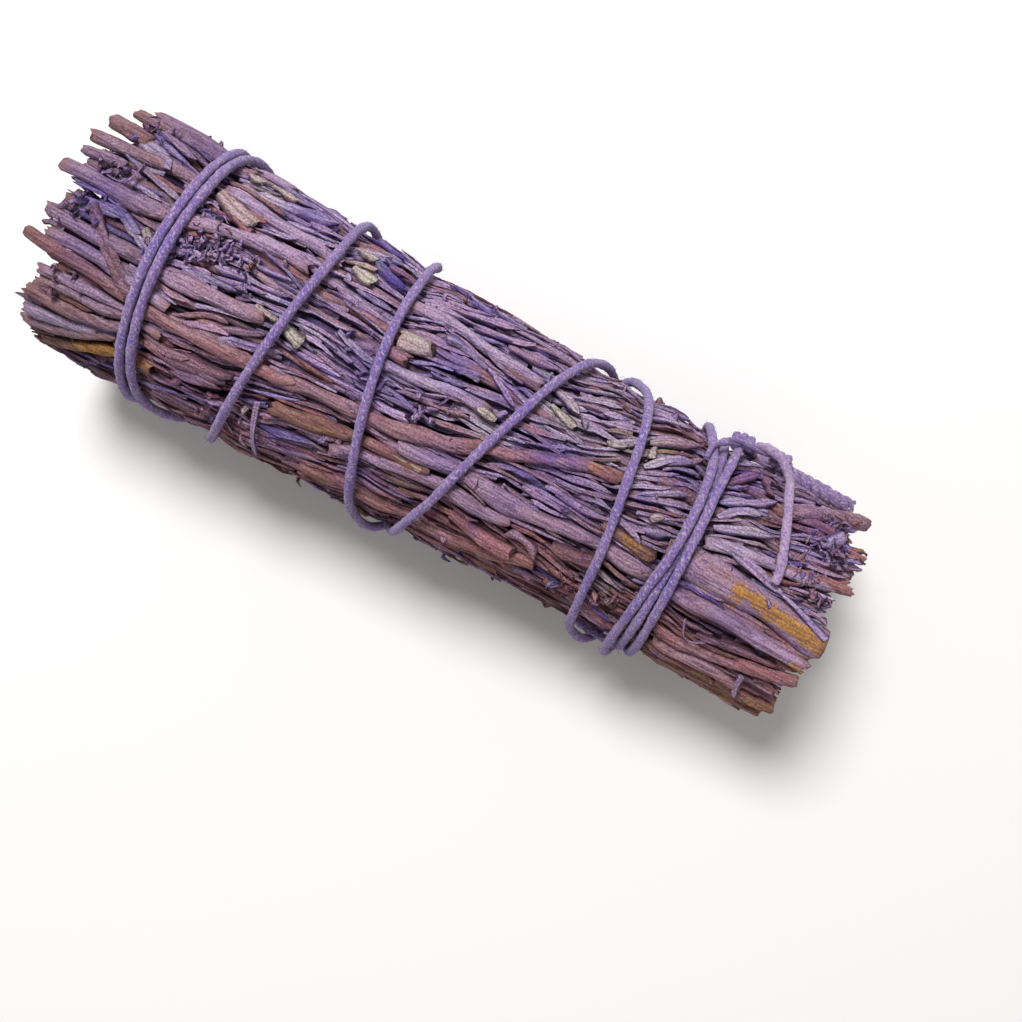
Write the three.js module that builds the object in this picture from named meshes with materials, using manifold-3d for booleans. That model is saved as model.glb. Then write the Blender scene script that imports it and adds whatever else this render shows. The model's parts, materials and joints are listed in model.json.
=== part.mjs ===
// A dried sage smudge stick lying on its side: leafy sprigs laid along one another, squeezed into a
// round bundle, cut off square at both ends and bound with one long cotton string.
// Millimetres. X runs along the bundle, from the wide end to the narrow end, and Z is up.
// A place on the bundle is given by x, by the angle from the top towards +Y, and by the distance
// from the bundle's centre line.
import * as THREE from "three";
import { mergeVertices } from "three/addons/utils/BufferGeometryUtils.js";
import Module from "manifold-3d";

const wasm = await Module();
wasm.setup();

// Driving dimensions
const LENGTH = 102; // between the longest stem tips
const WIDE_RADIUS = 16.1; // of the leaves, at the wide end
const NARROW_RADIUS = 14.1; // of the leaves, at the narrow end
const STRING_DIAMETER = 1.2;
const SQUEEZE = 0.55; // how far the string presses the leaves in
const SQUEEZE_REACH = 3.4; // how far from the string the leaves have sprung back
const GAP = 0.3; // air between pieces
const REST_FLAT = 0.25; // how much of the string is pressed flat where the bundle lies on it

// Sprigs, ring by ring from the outside in. A share is a share of the bundle's radius.
const OUTER_RING = { count: 24, leaves: 11, stemRadius: 1.0, stemDepth: 3.5, bareStemRadius: 0.85 };
const MIDDLE_RING = { count: 12, leaves: 2, stemRadius: 1.4, insideShare: 0.36, outsideShare: 0.66 };
const INNER_RING = { count: 6, leaves: 2, stemRadius: 1.15, insideShare: 0.1, outsideShare: 0.34 };
const CENTRE_STEM_RADIUS = 1.1;
const STEM_SIDES = 4; // sage has square stems
const BARE_STEM_EVERY = 3; // one outer sprig in three shows its stem between its leaves
const STEM_BENDS = [-24, 0, 24]; // x where the stems can bend
const BARE_STEM_BENDS = [-24, 0, 22, 30.5, 39]; // and the bare ones, which dip under the doubled string
const REVERSED_EVERY = 3; // one sprig in three is laid the other way round

// A leaf at its stations from root to tip: how far along, how wide, how far below the surface
const LEAF = { length: 18, width: 2.6, thickness: 0.72, layer: 0.3 };
const LEAF_ALONG = [0, 0.28, 0.7, 1];
const LEAF_WIDTHS = [0.35, 1, 0.85, 0];
const LEAF_DEPTHS = [0, 0.8, 0, 0.1];
const LEAF_LEAN = [0.1, 0.45, 0.55, 0.5];

// Where the ends are cut
const WIDE_CUT = -48.6;
const NARROW_CUT = 49.4;
const WIDE_SCATTER = 2.4;
const NARROW_SCATTER = 1.3;
const LONGEST_AT_WIDE_END = 20; // the numbers of the two sprigs whose stems reach furthest
const LONGEST_AT_NARROW_END = 2;

// How the borders between neighbouring sprigs wander along the bundle
const WANDER = 1.7; // degrees
const WANDER_LENGTH = 74;

// The string's way round the bundle, from its frayed tail to its tucked end, wound towards -Y over the top:
// [x, angle in degrees, lift off the leaves where it passes over or under itself]
const STRING_ROUTE = [
  [48.8, 84, 0], [45, 81, 0], [41.5, 85, 0], [38, 90, 0], [35, 90, 0], [32.9, 83, 0],
  [32.15, 62, 0], [31.5, 30, 0], [31.6, 0, 0], [32.05, -32, 0], [32.7, -64, 0], [33.1, -96, 0],
  [33, -135, 0], [32.5, -180, 0], [31.7, -225, 0], [31.2, -262, -0.4],
  [30.8, -292, -1], [30.75, -320, -0.95], [30.8, -344, -1.05], [30.8, -366, -1.05], [30.75, -384, -0.6],
  [30.85, -402, 0],
  [31.1, -425, 0], [31.2, -442, 0], [29.6, -452, 0], [27.1, -458, 0], [25.1, -466, 0], [23.6, -484, 0],
  [21.8, -518, 0], [19.4, -562, 0], [16.2, -606, 0], [13.4, -638, 0], [11.6, -654, 0], [10.1, -672, 0],
  [8.5, -690, 0], [7.1, -708, 0], [5.6, -725, 0], [4.2, -742, 0], [2.9, -760, 0], [1.4, -778, 0],
  [0.3, -798, 0], [-1, -820, 0], [-5.2, -856, 0], [-12, -900, 0], [-17, -942, 0], [-19.9, -984, 0],
  [-20.1, -1016, 0], [-19.85, -1046, 0], [-20.6, -1076, 0], [-22.1, -1110, 0], [-23.7, -1142, 0],
  [-25.6, -1172, 0], [-27.8, -1212, 0], [-30.8, -1256, 0], [-35.4, -1296, 0], [-38.1, -1334, 0],
  [-37.6, -1380, 0], [-37.3, -1412, 0], [-37.2, -1438, 0], [-36.8, -1474, 0], [-36.5, -1504, 0],
  [-36.3, -1534, 0], [-36.2, -1570, 0], [-35.6, -1606, 0.3], [-34.6, -1650, 1.3], [-35.1, -1692, 0.2],
  [-36.3, -1732, 0], [-36.05, -1770, 0], [-35.95, -1796, 0], [-35.5, -1832, 0], [-34.8, -1862, 0],
  [-33.2, -1890, 0.1], [-28.2, -1936, 1.3], [-22.4, -1982, 0], [-16.8, -2020, 1.3], [-11.3, -2066, 0],
  [-10.4, -2100, 0], [-10.1, -2128, 0], [-9.6, -2148, 0], [-8.5, -2172, 0], [-7, -2200, 0],
  [-6.2, -2222, 0], [-5.2, -2242, 0.2], [-2.5, -2266, 1.3], [3.4, -2312, 0], [9.6, -2354, 0],
  [16.1, -2405, 1.3], [18.6, -2436, 0], [20.5, -2474, 0], [21.6, -2508, 0], [22.9, -2540, 0],
  [23.8, -2574, 0], [25, -2603, 0.7], [27.3, -2616, 1.4], [29.4, -2634, 0.9], [29.9, -2668, 0],
  [29.7, -2710, 0], [29, -2758, 0], [28.2, -2800, 0], [28.8, -2822, 0], [29.7, -2838, 0],
  [30.15, -2862, 0], [30.1, -2886, 0], [29.7, -2904, 0], [29.55, -2924, 0], [29.6, -2944, 0.4],
  [30.2, -2966, 1.3], [31.6, -2988, 1.3], [33, -3016, 1.3], [34.6, -3044, 0.6], [35.4, -3066, 0],
  [35.4, -3104, 0], [35, -3134, 0.6], [35.4, -3151, 1.3], [37.4, -3156, 1.3], [39.2, -3170, 0.1],
  [39.6, -3190, 0], [40.3, -3206, 0], [41.2, -3220, 0], [41.9, -3230, -0.1], [42.1, -3236, -0.5],
];
const STRING_STEP = 5.6;
const STRING_SIDES = 8;
const KNOT = { radius: 0.8, thickness: 1.2 };
const KNOTS = [[33, 85, 0.4], [38.2, 86, 0.7]]; // half hitches at the edge of the bundle: x, angle, lift

// Colours, roughness
const PURPLE_SAGE = ["#7d6a8c", "#8a7399", "#74607f", "#927a86"];
const DRY_STEM = "#8b6a6b";
const VIOLET_STRING = "#6a569c";

const STRING_RADIUS = STRING_DIAMETER / 2;
const STRING_HEIGHT = GAP + STRING_RADIUS - SQUEEZE; // of the string's centre line over the free leaves
const HALF_LENGTH = LENGTH / 2;
const rad = THREE.MathUtils.degToRad;

// Repeatable scatter from 0 to 1 for a pair of numbers.
function scatter(a, b) {
  const s = Math.sin(a * 12.9898 + b * 78.233) * 43758.5453;
  return s - Math.floor(s);
}

function leafRadius(x) {
  const t = THREE.MathUtils.smoothstep(x, -45, 55);
  return WIDE_RADIUS - (WIDE_RADIUS - NARROW_RADIUS) * t;
}

// The bundle lies on its string, so its centre line sinks a little towards the narrow end.
function axisHeight(x) {
  return leafRadius(x) + STRING_HEIGHT + STRING_RADIUS - REST_FLAT;
}

function place(x, angle, distance) {
  const a = rad(angle);
  return new THREE.Vector3(x, distance * Math.sin(a), axisHeight(x) + distance * Math.cos(a));
}

// The route as a smooth curve of the parameter u, which counts its points.
function routeAt(u) {
  const last = STRING_ROUTE.length - 1;
  const i = Math.min(Math.floor(u), last - 1);
  const t = u - i;
  const at = (k) => STRING_ROUTE[Math.min(Math.max(k, 0), last)];
  const [a, b, c, d] = [at(i - 1), at(i), at(i + 1), at(i + 2)];
  return a.map((_, k) => {
    const square = 2 * a[k] - 5 * b[k] + 4 * c[k] - d[k];
    const cube = 3 * (b[k] - c[k]) + d[k] - a[k];
    return 0.5 * (2 * b[k] + (c[k] - a[k]) * t + square * t * t + cube * t * t * t);
  });
}

class StringCurve extends THREE.Curve {
  getPoint(t) {
    const [x, angle, lift] = routeAt(t * (STRING_ROUTE.length - 1));
    return place(x, angle, leafRadius(x) + STRING_HEIGHT + lift);
  }
}

// Places under the string, unrolled flat, with the depth that it presses the leaves in there.
const PRESSED = [];
for (let u = 0; u < STRING_ROUTE.length - 1; u += 0.2) {
  const [x, angle, lift] = routeAt(u);
  PRESSED.push([x, THREE.MathUtils.euclideanModulo(angle, 360), Math.max(SQUEEZE - lift, 0)]);
}
for (const [x, angle] of KNOTS) PRESSED.push([x, angle, 2 * SQUEEZE]);

// The distance of the leaves from the centre line, with the string drawn tight round them.
function pressedRadius(x, angle) {
  const around = THREE.MathUtils.euclideanModulo(angle, 360);
  let depth = 0;
  for (const [sx, sa, pressed] of PRESSED) {
    const turn = Math.abs(sa - around);
    const across = rad(Math.min(turn, 360 - turn)) * WIDE_RADIUS;
    const apart = (x - sx) ** 2 + across ** 2;
    depth = Math.max(depth, pressed * Math.exp(-apart / SQUEEZE_REACH ** 2));
  }
  return leafRadius(x) - depth;
}

function solidFrom(positions, triangles) {
  const mesh = new wasm.Mesh({
    numProp: 3,
    vertProperties: new Float32Array(positions.flatMap((p) => [p.x, p.y, p.z])),
    triVerts: new Uint32Array(triangles),
  });
  return new wasm.Manifold(mesh);
}

function solidOfGeometry(geometry) {
  const bare = geometry.index ? geometry.toNonIndexed() : geometry.clone();
  bare.deleteAttribute("normal");
  bare.deleteAttribute("uv");
  const merged = mergeVertices(bare, 1e-4);
  const mesh = new wasm.Mesh({
    numProp: 3,
    vertProperties: merged.attributes.position.array,
    triVerts: new Uint32Array(merged.index.array),
  });
  return new wasm.Manifold(mesh);
}

// A closed skin over rings of points, all of one count, ending in a flat cap or, where tip is given, a point.
function skin(rings, tip) {
  const n = rings[0].length;
  const positions = rings.flat();
  const triangles = [];
  for (let k = 1; k < n - 1; k++) triangles.push(0, k, k + 1);
  for (let r = 0; r < rings.length - 1; r++) {
    for (let k = 0; k < n; k++) {
      const a = r * n + k;
      const b = r * n + ((k + 1) % n);
      triangles.push(a, b + n, b, a, a + n, b + n);
    }
  }
  const end = (rings.length - 1) * n;
  if (tip) {
    positions.push(tip);
    for (let k = 0; k < n; k++) triangles.push(end + ((k + 1) % n), end + k, positions.length - 1);
  } else {
    for (let k = 1; k < n - 1; k++) triangles.push(end, end + k + 1, end + k);
  }
  return solidFrom(positions, triangles);
}

// The border between a ring's sprigs number i-1 and i, which wanders along the bundle.
function border(ring, i, x) {
  const step = 360 / ring.count;
  const k = ((i % ring.count) + ring.count) % ring.count;
  const wave = Math.sin((x / WANDER_LENGTH + scatter(k, ring.count)) * 2 * Math.PI);
  return step * i + WANDER * wave;
}

// A woody stem along the middle of its sprig, with an uneven girth, from one cut end to the other.
function stem(ring, i, plan) {
  const rings = [];
  [plan.from, ...plan.stemBends, plan.to].forEach((x, s) => {
    const low = border(ring, i, x);
    const high = border(ring, i + 1, x);
    const distance = plan.stemDistance(x);
    const room = rad((high - low) / 2) * distance - GAP;
    const girth = Math.min(plan.stemRadius * (0.85 + 0.3 * scatter(i + 40, s)), room);
    const points = [];
    for (let k = 0; k < STEM_SIDES; k++) {
      const turn = (2 * Math.PI * k) / STEM_SIDES;
      const sideways = THREE.MathUtils.radToDeg((girth * Math.sin(turn)) / distance);
      points.push(place(x, (low + high) / 2 + sideways, distance + girth * Math.cos(turn)));
    }
    rings.push(points);
  });
  return skin(rings);
}

// The places along a leaf, with the nearest one moved under the string where it crosses.
function leafStations(root, tip, angle) {
  const stations = LEAF_ALONG.map((along) => THREE.MathUtils.lerp(root, tip, along));
  const reach = Math.abs(tip - root) / LEAF_ALONG.length / 2;
  return stations.map((x, s) => {
    if (s === 0 || s === stations.length - 1) return x;
    let lowest = x;
    for (let shift = -reach; shift <= reach; shift += 0.25) {
      if (pressedRadius(x + shift, angle) < pressedRadius(lowest, angle) - 1e-3) lowest = x + shift;
    }
    return lowest;
  });
}

// One narrow three-sided blade on one side of the stem. It leaves the stem at its root, rises to the
// surface and lies along the bundle, over the root of the next leaf.
function leaf(ring, i, plan, root, reach, side, j) {
  const middle = (x) => (border(ring, i, x) + border(ring, i + 1, x)) / 2;
  const halfCell = (x) => (border(ring, i + 1, x) - border(ring, i, x)) / 2;
  const tip = THREE.MathUtils.clamp(root + reach, WIDE_CUT - 0.5, NARROW_CUT + 0.3);
  const layer = LEAF.layer * scatter(i + 5, j + 5);
  const width = LEAF.width * (0.8 + 0.4 * scatter(j + 3, i));
  const ridgeOut = scatter(j, i + 7) > 0.35;
  const rings = leafStations(root, tip, middle(root) + side * halfCell(root) * 0.5).map((x, s) => {
    const half = halfCell(x);
    const lean = LEAF_LEAN[s] + 0.5 * (scatter(i + s, j) - 0.5);
    const surface = plan.leafLimit(x, middle(x) + side * half * lean) - layer - LEAF_DEPTHS[s];
    const distance = s === 0 ? plan.stemDistance(x) + LEAF.thickness / 2 : surface;
    const gap = THREE.MathUtils.radToDeg(GAP / 2 / (distance - LEAF.thickness));
    const inner = s === 0 ? -half : plan.bareShare(x);
    const room = (half - gap - inner) / 2;
    const halfWidth = Math.min(THREE.MathUtils.radToDeg((width * LEAF_WIDTHS[s]) / 2 / distance), room);
    const centre = THREE.MathUtils.clamp(half * lean, inner + halfWidth, half - gap - halfWidth);
    const at = (sideways, depth) => place(x, middle(x) + side * centre + sideways, distance - depth);
    if (s === LEAF_ALONG.length - 1) return at(0, LEAF.thickness / 2);
    const edge = ridgeOut ? LEAF.thickness : 0;
    const points = [at(-halfWidth, edge), at(0, LEAF.thickness - edge), at(halfWidth, edge)];
    return ridgeOut === reach > 0 ? points : points.reverse();
  });
  return skin(rings.slice(0, -1), rings[rings.length - 1]);
}

// A cut sprig in one body: its stem, and its leaves on both sides in turn.
function sprig(ring, i, plan) {
  let solid = stem(ring, i, plan);
  const forward = i % REVERSED_EVERY === 1 ? -1 : 1;
  const start = forward > 0 ? plan.from : plan.to;
  const run = plan.to - plan.from - LEAF.length * 0.4;
  for (let j = 0; j < ring.leaves; j++) {
    const root = start + forward * (1.2 + (run * (j + 0.6 * scatter(i, j))) / ring.leaves);
    const reach = forward * plan.leafLength * (0.88 + 0.24 * scatter(j, i + 1));
    solid = solid.add(leaf(ring, i, plan, root, reach, j % 2 === 0 ? 1 : -1, j));
  }
  return solid;
}

function outerSprig(i) {
  const bare = i % BARE_STEM_EVERY === 1;
  const stemRadius = bare ? OUTER_RING.bareStemRadius : OUTER_RING.stemRadius;
  const middle = (x) => (border(OUTER_RING, i, x) + border(OUTER_RING, i + 1, x)) / 2;
  const pressed = (x) => Math.max(SQUEEZE, leafRadius(x) - pressedRadius(x, middle(x)));
  const depth = (x) => (bare ? pressed(x) + 1.15 * stemRadius + 0.1 : OUTER_RING.stemDepth);
  const wideEnd = WIDE_CUT + WIDE_SCATTER * (scatter(i, 3) - 0.6);
  const narrowEnd = NARROW_CUT + NARROW_SCATTER * (scatter(i, 4) - 0.5);
  return sprig(OUTER_RING, i, {
    from: i === LONGEST_AT_WIDE_END ? -HALF_LENGTH : wideEnd,
    to: i === LONGEST_AT_NARROW_END ? HALF_LENGTH : narrowEnd,
    stemRadius,
    stemBends: bare ? BARE_STEM_BENDS : STEM_BENDS,
    stemDistance: (x) => leafRadius(x) - depth(x),
    leafLength: LEAF.length,
    leafLimit: pressedRadius,
    bareShare: (x) => (bare ? THREE.MathUtils.radToDeg((1.2 * stemRadius) / leafRadius(x)) : 0.15),
  });
}

function buriedSprig(ring, i) {
  return sprig(ring, i, {
    from: WIDE_CUT + WIDE_SCATTER * (scatter(i, ring.count) - 0.5),
    to: NARROW_CUT + NARROW_SCATTER * (scatter(i, ring.count + 1) - 0.6),
    stemRadius: ring.stemRadius,
    stemBends: STEM_BENDS,
    stemDistance: (x) => ring.insideShare * leafRadius(x) + ring.stemRadius,
    leafLength: LEAF.length * 1.7,
    leafLimit: (x) => ring.outsideShare * leafRadius(x),
    bareShare: () => 0.3,
  });
}

function centreStem() {
  const points = (x) =>
    Array.from({ length: STEM_SIDES }, (_, k) => place(x, (360 * k) / STEM_SIDES, CENTRE_STEM_RADIUS));
  return skin([points(WIDE_CUT - 0.6), points(0), points(NARROW_CUT + 0.2)]);
}

function stringTube() {
  const curve = new StringCurve();
  curve.arcLengthDivisions = 4000;
  const section = new THREE.Shape(
    Array.from({ length: STRING_SIDES }, (_, k) => {
      const turn = (2 * Math.PI * (k + 0.5)) / STRING_SIDES;
      return new THREE.Vector2(STRING_RADIUS * Math.cos(turn), STRING_RADIUS * Math.sin(turn));
    }),
  );
  const steps = Math.ceil(curve.getLength() / STRING_STEP);
  return solidOfGeometry(new THREE.ExtrudeGeometry(section, { steps, extrudePath: curve }));
}

function knot([x, angle, lift]) {
  const ring = new THREE.TorusGeometry(KNOT.radius, KNOT.thickness / 2, 5, 7);
  ring.rotateY(Math.PI / 2);
  const centre = place(x, angle, leafRadius(x) + STRING_HEIGHT + lift);
  ring.translate(centre.x, centre.y, centre.z);
  return solidOfGeometry(ring);
}

// The whole string, with its underside pressed flat where the bundle rests.
function bindingString() {
  const solid = KNOTS.map(knot).reduce((a, b) => a.add(b), stringTube());
  const below = new THREE.BoxGeometry(2 * LENGTH, LENGTH, 10).translate(0, 0, -5);
  return solid.subtract(solidOfGeometry(below));
}

function meshOf(name, solid, colour) {
  const mesh = solid.getMesh();
  const geometry = new THREE.BufferGeometry();
  const positions = new Float32Array(mesh.numVert * 3);
  for (let v = 0; v < mesh.numVert; v++) {
    positions.set(mesh.vertProperties.subarray(v * mesh.numProp, v * mesh.numProp + 3), v * 3);
  }
  geometry.setAttribute("position", new THREE.BufferAttribute(positions, 3));
  geometry.setIndex(new THREE.BufferAttribute(mesh.triVerts, 1));
  geometry.computeVertexNormals();
  const material = new THREE.MeshStandardMaterial({ color: colour, roughness: 0.85, metalness: 0 });
  const made = new THREE.Mesh(geometry, material);
  made.name = name;
  return made;
}

const number = (i) => String(i + 1).padStart(2, "0");
const stick = new THREE.Group();
const outer = new THREE.Group();
for (let i = 0; i < OUTER_RING.count; i++) {
  const colour = PURPLE_SAGE[i % PURPLE_SAGE.length];
  outer.add(meshOf(`outer_sprig_${number(i)}`, outerSprig(i), colour));
}
const buried = new THREE.Group();
for (let i = 0; i < MIDDLE_RING.count; i++) {
  buried.add(meshOf(`middle_sprig_${number(i)}`, buriedSprig(MIDDLE_RING, i), DRY_STEM));
}
for (let i = 0; i < INNER_RING.count; i++) {
  buried.add(meshOf(`inner_sprig_${number(i)}`, buriedSprig(INNER_RING, i), DRY_STEM));
}
buried.add(meshOf("centre_stem", centreStem(), DRY_STEM));
stick.add(outer, buried, meshOf("binding_string", bindingString(), VIOLET_STRING));

export default stick;
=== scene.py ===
"""A purple-dyed sage smudge stick, lying on a pale floor: leafy sprigs squeezed into a round bundle and
bound with one cotton string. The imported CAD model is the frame, and every piece made here replaces a node
of it. The sprigs are drawn in millimetres in the unrolled bundle, and then rolled up, in metres."""

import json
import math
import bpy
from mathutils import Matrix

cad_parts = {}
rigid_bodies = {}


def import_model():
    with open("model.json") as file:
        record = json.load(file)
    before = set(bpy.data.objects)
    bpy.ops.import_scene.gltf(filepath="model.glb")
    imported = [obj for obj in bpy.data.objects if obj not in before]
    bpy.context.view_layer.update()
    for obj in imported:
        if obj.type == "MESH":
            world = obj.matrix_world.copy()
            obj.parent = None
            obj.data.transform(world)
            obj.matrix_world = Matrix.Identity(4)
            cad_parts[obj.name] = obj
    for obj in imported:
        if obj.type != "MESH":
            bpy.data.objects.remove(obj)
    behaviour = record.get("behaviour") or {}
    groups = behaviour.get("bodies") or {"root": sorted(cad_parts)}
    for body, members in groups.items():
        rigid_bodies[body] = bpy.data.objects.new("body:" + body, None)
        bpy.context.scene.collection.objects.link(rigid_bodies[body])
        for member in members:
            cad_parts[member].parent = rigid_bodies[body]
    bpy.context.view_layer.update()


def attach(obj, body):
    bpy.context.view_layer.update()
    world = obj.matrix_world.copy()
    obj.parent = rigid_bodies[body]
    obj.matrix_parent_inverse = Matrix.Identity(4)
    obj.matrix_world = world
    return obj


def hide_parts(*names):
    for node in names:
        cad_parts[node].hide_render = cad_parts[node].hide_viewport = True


bl_info = {
    "name": "Sage Smudge Stick",
    "version": (1, 0, 0),
    "blender": (4, 5, 0),
    "location": "3D View > Sidebar > Smudge Stick",
    "description": "Builds a bound bundle of dried, dyed sage with its camera and its floor",
    "category": "Add Mesh",
}

from collections import namedtuple

import bpy
import numpy as np
from bpy.props import FloatProperty, FloatVectorProperty, IntProperty, PointerProperty

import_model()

MM = 0.001
IMAGE_SIZE = 1022
SENSOR_WIDTH = 36  # of the camera, in mm
LIGHT_COLOUR = "#f8f5f3"
SURROUNDING_LIGHT = 0.38
# The lamps, which point at the bundle: place, diameter, power
LAMPS = {"key": ((-0.22, 0.22, 0.58), 0.24, 4.7), "fill": ((0.45, -0.25, 0.5), 0.6, 0.35)}
FLOOR_REACH = 1.6  # from its middle to each side, in metres

# The bundle, as in the part's own drawing
WIDE_RADIUS = 16.1
NARROW_RADIUS = 14.1
STRING_DIAMETER = 1.2
SQUEEZE = 0.55
GAP = 0.3
REST_FLAT = 0.25
WIDE_CUT = -48.6
NARROW_CUT = 49.4
HALF_LENGTH = 51.0
WIDE_SCATTER = 2.4
NARROW_SCATTER = 1.3
LONGEST_AT_WIDE_END = 20
LONGEST_AT_NARROW_END = 2
WANDER = 1.7
WANDER_LENGTH = 74
OUTER_COUNT = 24
OUTER_STEM = {"radius": 1.0, "depth": 3.5, "bare_radius": 0.85}
MIDDLE_RING = {"count": 12, "radius": 1.4, "inside": 0.36, "outside": 0.66}
INNER_RING = {"count": 6, "radius": 1.15, "inside": 0.1, "outside": 0.34}
CENTRE_STEM_RADIUS = 1.1

STRING_RADIUS = STRING_DIAMETER / 2
STRING_HEIGHT = GAP + STRING_RADIUS - SQUEEZE
STRING_SURFACE = 0.0037  # of the whole string, in square metres
PLY_DEPTH = 0.03  # of the grooves between its plies
FELT_DEPTH = 0.2  # of its felted unevenness

# The finer parts of the sprigs
BED_LEAVES = 28  # the broad ones at the bottom of an outer sprig
LOOSE_CRUMBS = 18  # in an outer sprig
CRUMB_SEED = 31  # of those that are laid at places of their own
OUTER_CUT_LEAVES = 16  # at the two ends of an outer sprig
BURIED_CUT_LEAVES = 64  # at the two ends of a buried one
TRIED_PLACES = 5  # of which a leaf takes the one with the fewest others
NEIGHBOUR_CHANCE = 0.55  # that a leaf has another along its side
SHORTEST_LEAF = 2.4
WRINKLE_DEPTH = 0.55  # of dried leaves
RIDGE_DEPTH = 0.36  # of bark
SPLINTER_LENGTH = 4.0  # of torn fibres at the cut ends, before they are worn down

# The string's way round the bundle: x, angle in degrees from the top towards +Y, lift over the leaves
STRING_ROUTE = [
    (48.8, 84, 0), (45, 81, 0), (41.5, 85, 0), (38, 90, 0), (35, 90, 0), (32.9, 83, 0),
    (32.15, 62, 0), (31.5, 30, 0), (31.6, 0, 0), (32.05, -32, 0), (32.7, -64, 0), (33.1, -96, 0),
    (33, -135, 0), (32.5, -180, 0), (31.7, -225, 0), (31.2, -262, -0.4),
    (30.8, -292, -1), (30.75, -320, -0.95), (30.8, -344, -1.05), (30.8, -366, -1.05), (30.75, -384, -0.6),
    (30.85, -402, 0),
    (31.1, -425, 0), (31.2, -442, 0), (29.6, -452, 0), (27.1, -458, 0), (25.1, -466, 0), (23.6, -484, 0),
    (21.8, -518, 0), (19.4, -562, 0), (16.2, -606, 0), (13.4, -638, 0), (11.6, -654, 0), (10.1, -672, 0),
    (8.5, -690, 0), (7.1, -708, 0), (5.6, -725, 0), (4.2, -742, 0), (2.9, -760, 0), (1.4, -778, 0),
    (0.3, -798, 0), (-1, -820, 0), (-5.2, -856, 0), (-12, -900, 0), (-17, -942, 0), (-19.9, -984, 0),
    (-20.1, -1016, 0), (-19.85, -1046, 0), (-20.6, -1076, 0), (-22.1, -1110, 0), (-23.7, -1142, 0),
    (-25.6, -1172, 0), (-27.8, -1212, 0), (-30.8, -1256, 0), (-35.4, -1296, 0), (-38.1, -1334, 0),
    (-37.6, -1380, 0), (-37.3, -1412, 0), (-37.2, -1438, 0), (-36.8, -1474, 0), (-36.5, -1504, 0),
    (-36.3, -1534, 0), (-36.2, -1570, 0), (-35.6, -1606, 0.3), (-34.6, -1650, 1.3), (-35.1, -1692, 0.2),
    (-36.3, -1732, 0), (-36.05, -1770, 0), (-35.95, -1796, 0), (-35.5, -1832, 0), (-34.8, -1862, 0),
    (-33.2, -1890, 0.1), (-28.2, -1936, 1.3), (-22.4, -1982, 0), (-16.8, -2020, 1.3), (-11.3, -2066, 0),
    (-10.4, -2100, 0), (-10.1, -2128, 0), (-9.6, -2148, 0), (-8.5, -2172, 0), (-7, -2200, 0),
    (-6.2, -2222, 0), (-5.2, -2242, 0.2), (-2.5, -2266, 1.3), (3.4, -2312, 0), (9.6, -2354, 0),
    (16.1, -2405, 1.3), (18.6, -2436, 0), (20.5, -2474, 0), (21.6, -2508, 0), (22.9, -2540, 0),
    (23.8, -2574, 0), (25, -2603, 0.7), (27.3, -2616, 1.4), (29.4, -2634, 0.9), (29.9, -2668, 0),
    (29.7, -2710, 0), (29, -2758, 0), (28.2, -2800, 0), (28.8, -2822, 0), (29.7, -2838, 0),
    (30.15, -2862, 0), (30.1, -2886, 0), (29.7, -2904, 0), (29.55, -2924, 0), (29.6, -2944, 0.4),
    (30.2, -2966, 1.3), (31.6, -2988, 1.3), (33, -3016, 1.3), (34.6, -3044, 0.6), (35.4, -3066, 0),
    (35.4, -3104, 0), (35, -3134, 0.6), (35.4, -3151, 1.3), (37.4, -3156, 1.3), (39.2, -3170, 0.1),
    (39.6, -3190, 0), (40.3, -3206, 0), (41.2, -3220, 0), (41.9, -3230, -0.1), (42.1, -3236, -0.5),
]
KNOTS = [(33, 85, 0.4), (38.2, 86, 0.7)]
TAIL_END = 3.4  # how many points of the route the frayed tail takes up
# The loose yarn that lies over both knots
LOOSE_YARN = [
    (28.6, 42, 0.4), (28.8, 50, 0.9), (30.9, 60.5, 1.1), (33.3, 67.5, 1), (36, 76, 0.9), (38.6, 82, 0.9),
]

# The bundle unrolled flat: an angle becomes an arc at this radius, and a height is over the leaves
UNROLLED_RADIUS = 15.0
ARC = math.radians(1) * UNROLLED_RADIUS
HOLD_REACH = 2.1  # how far from the string the leaves bulge up again
HOLD_DEPTH = 0.55
# A net laid over the unrolled bundle, of one knot for each degree and a few for each mm of its length
NET_END = 52
NET_PER_MM = 4

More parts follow.
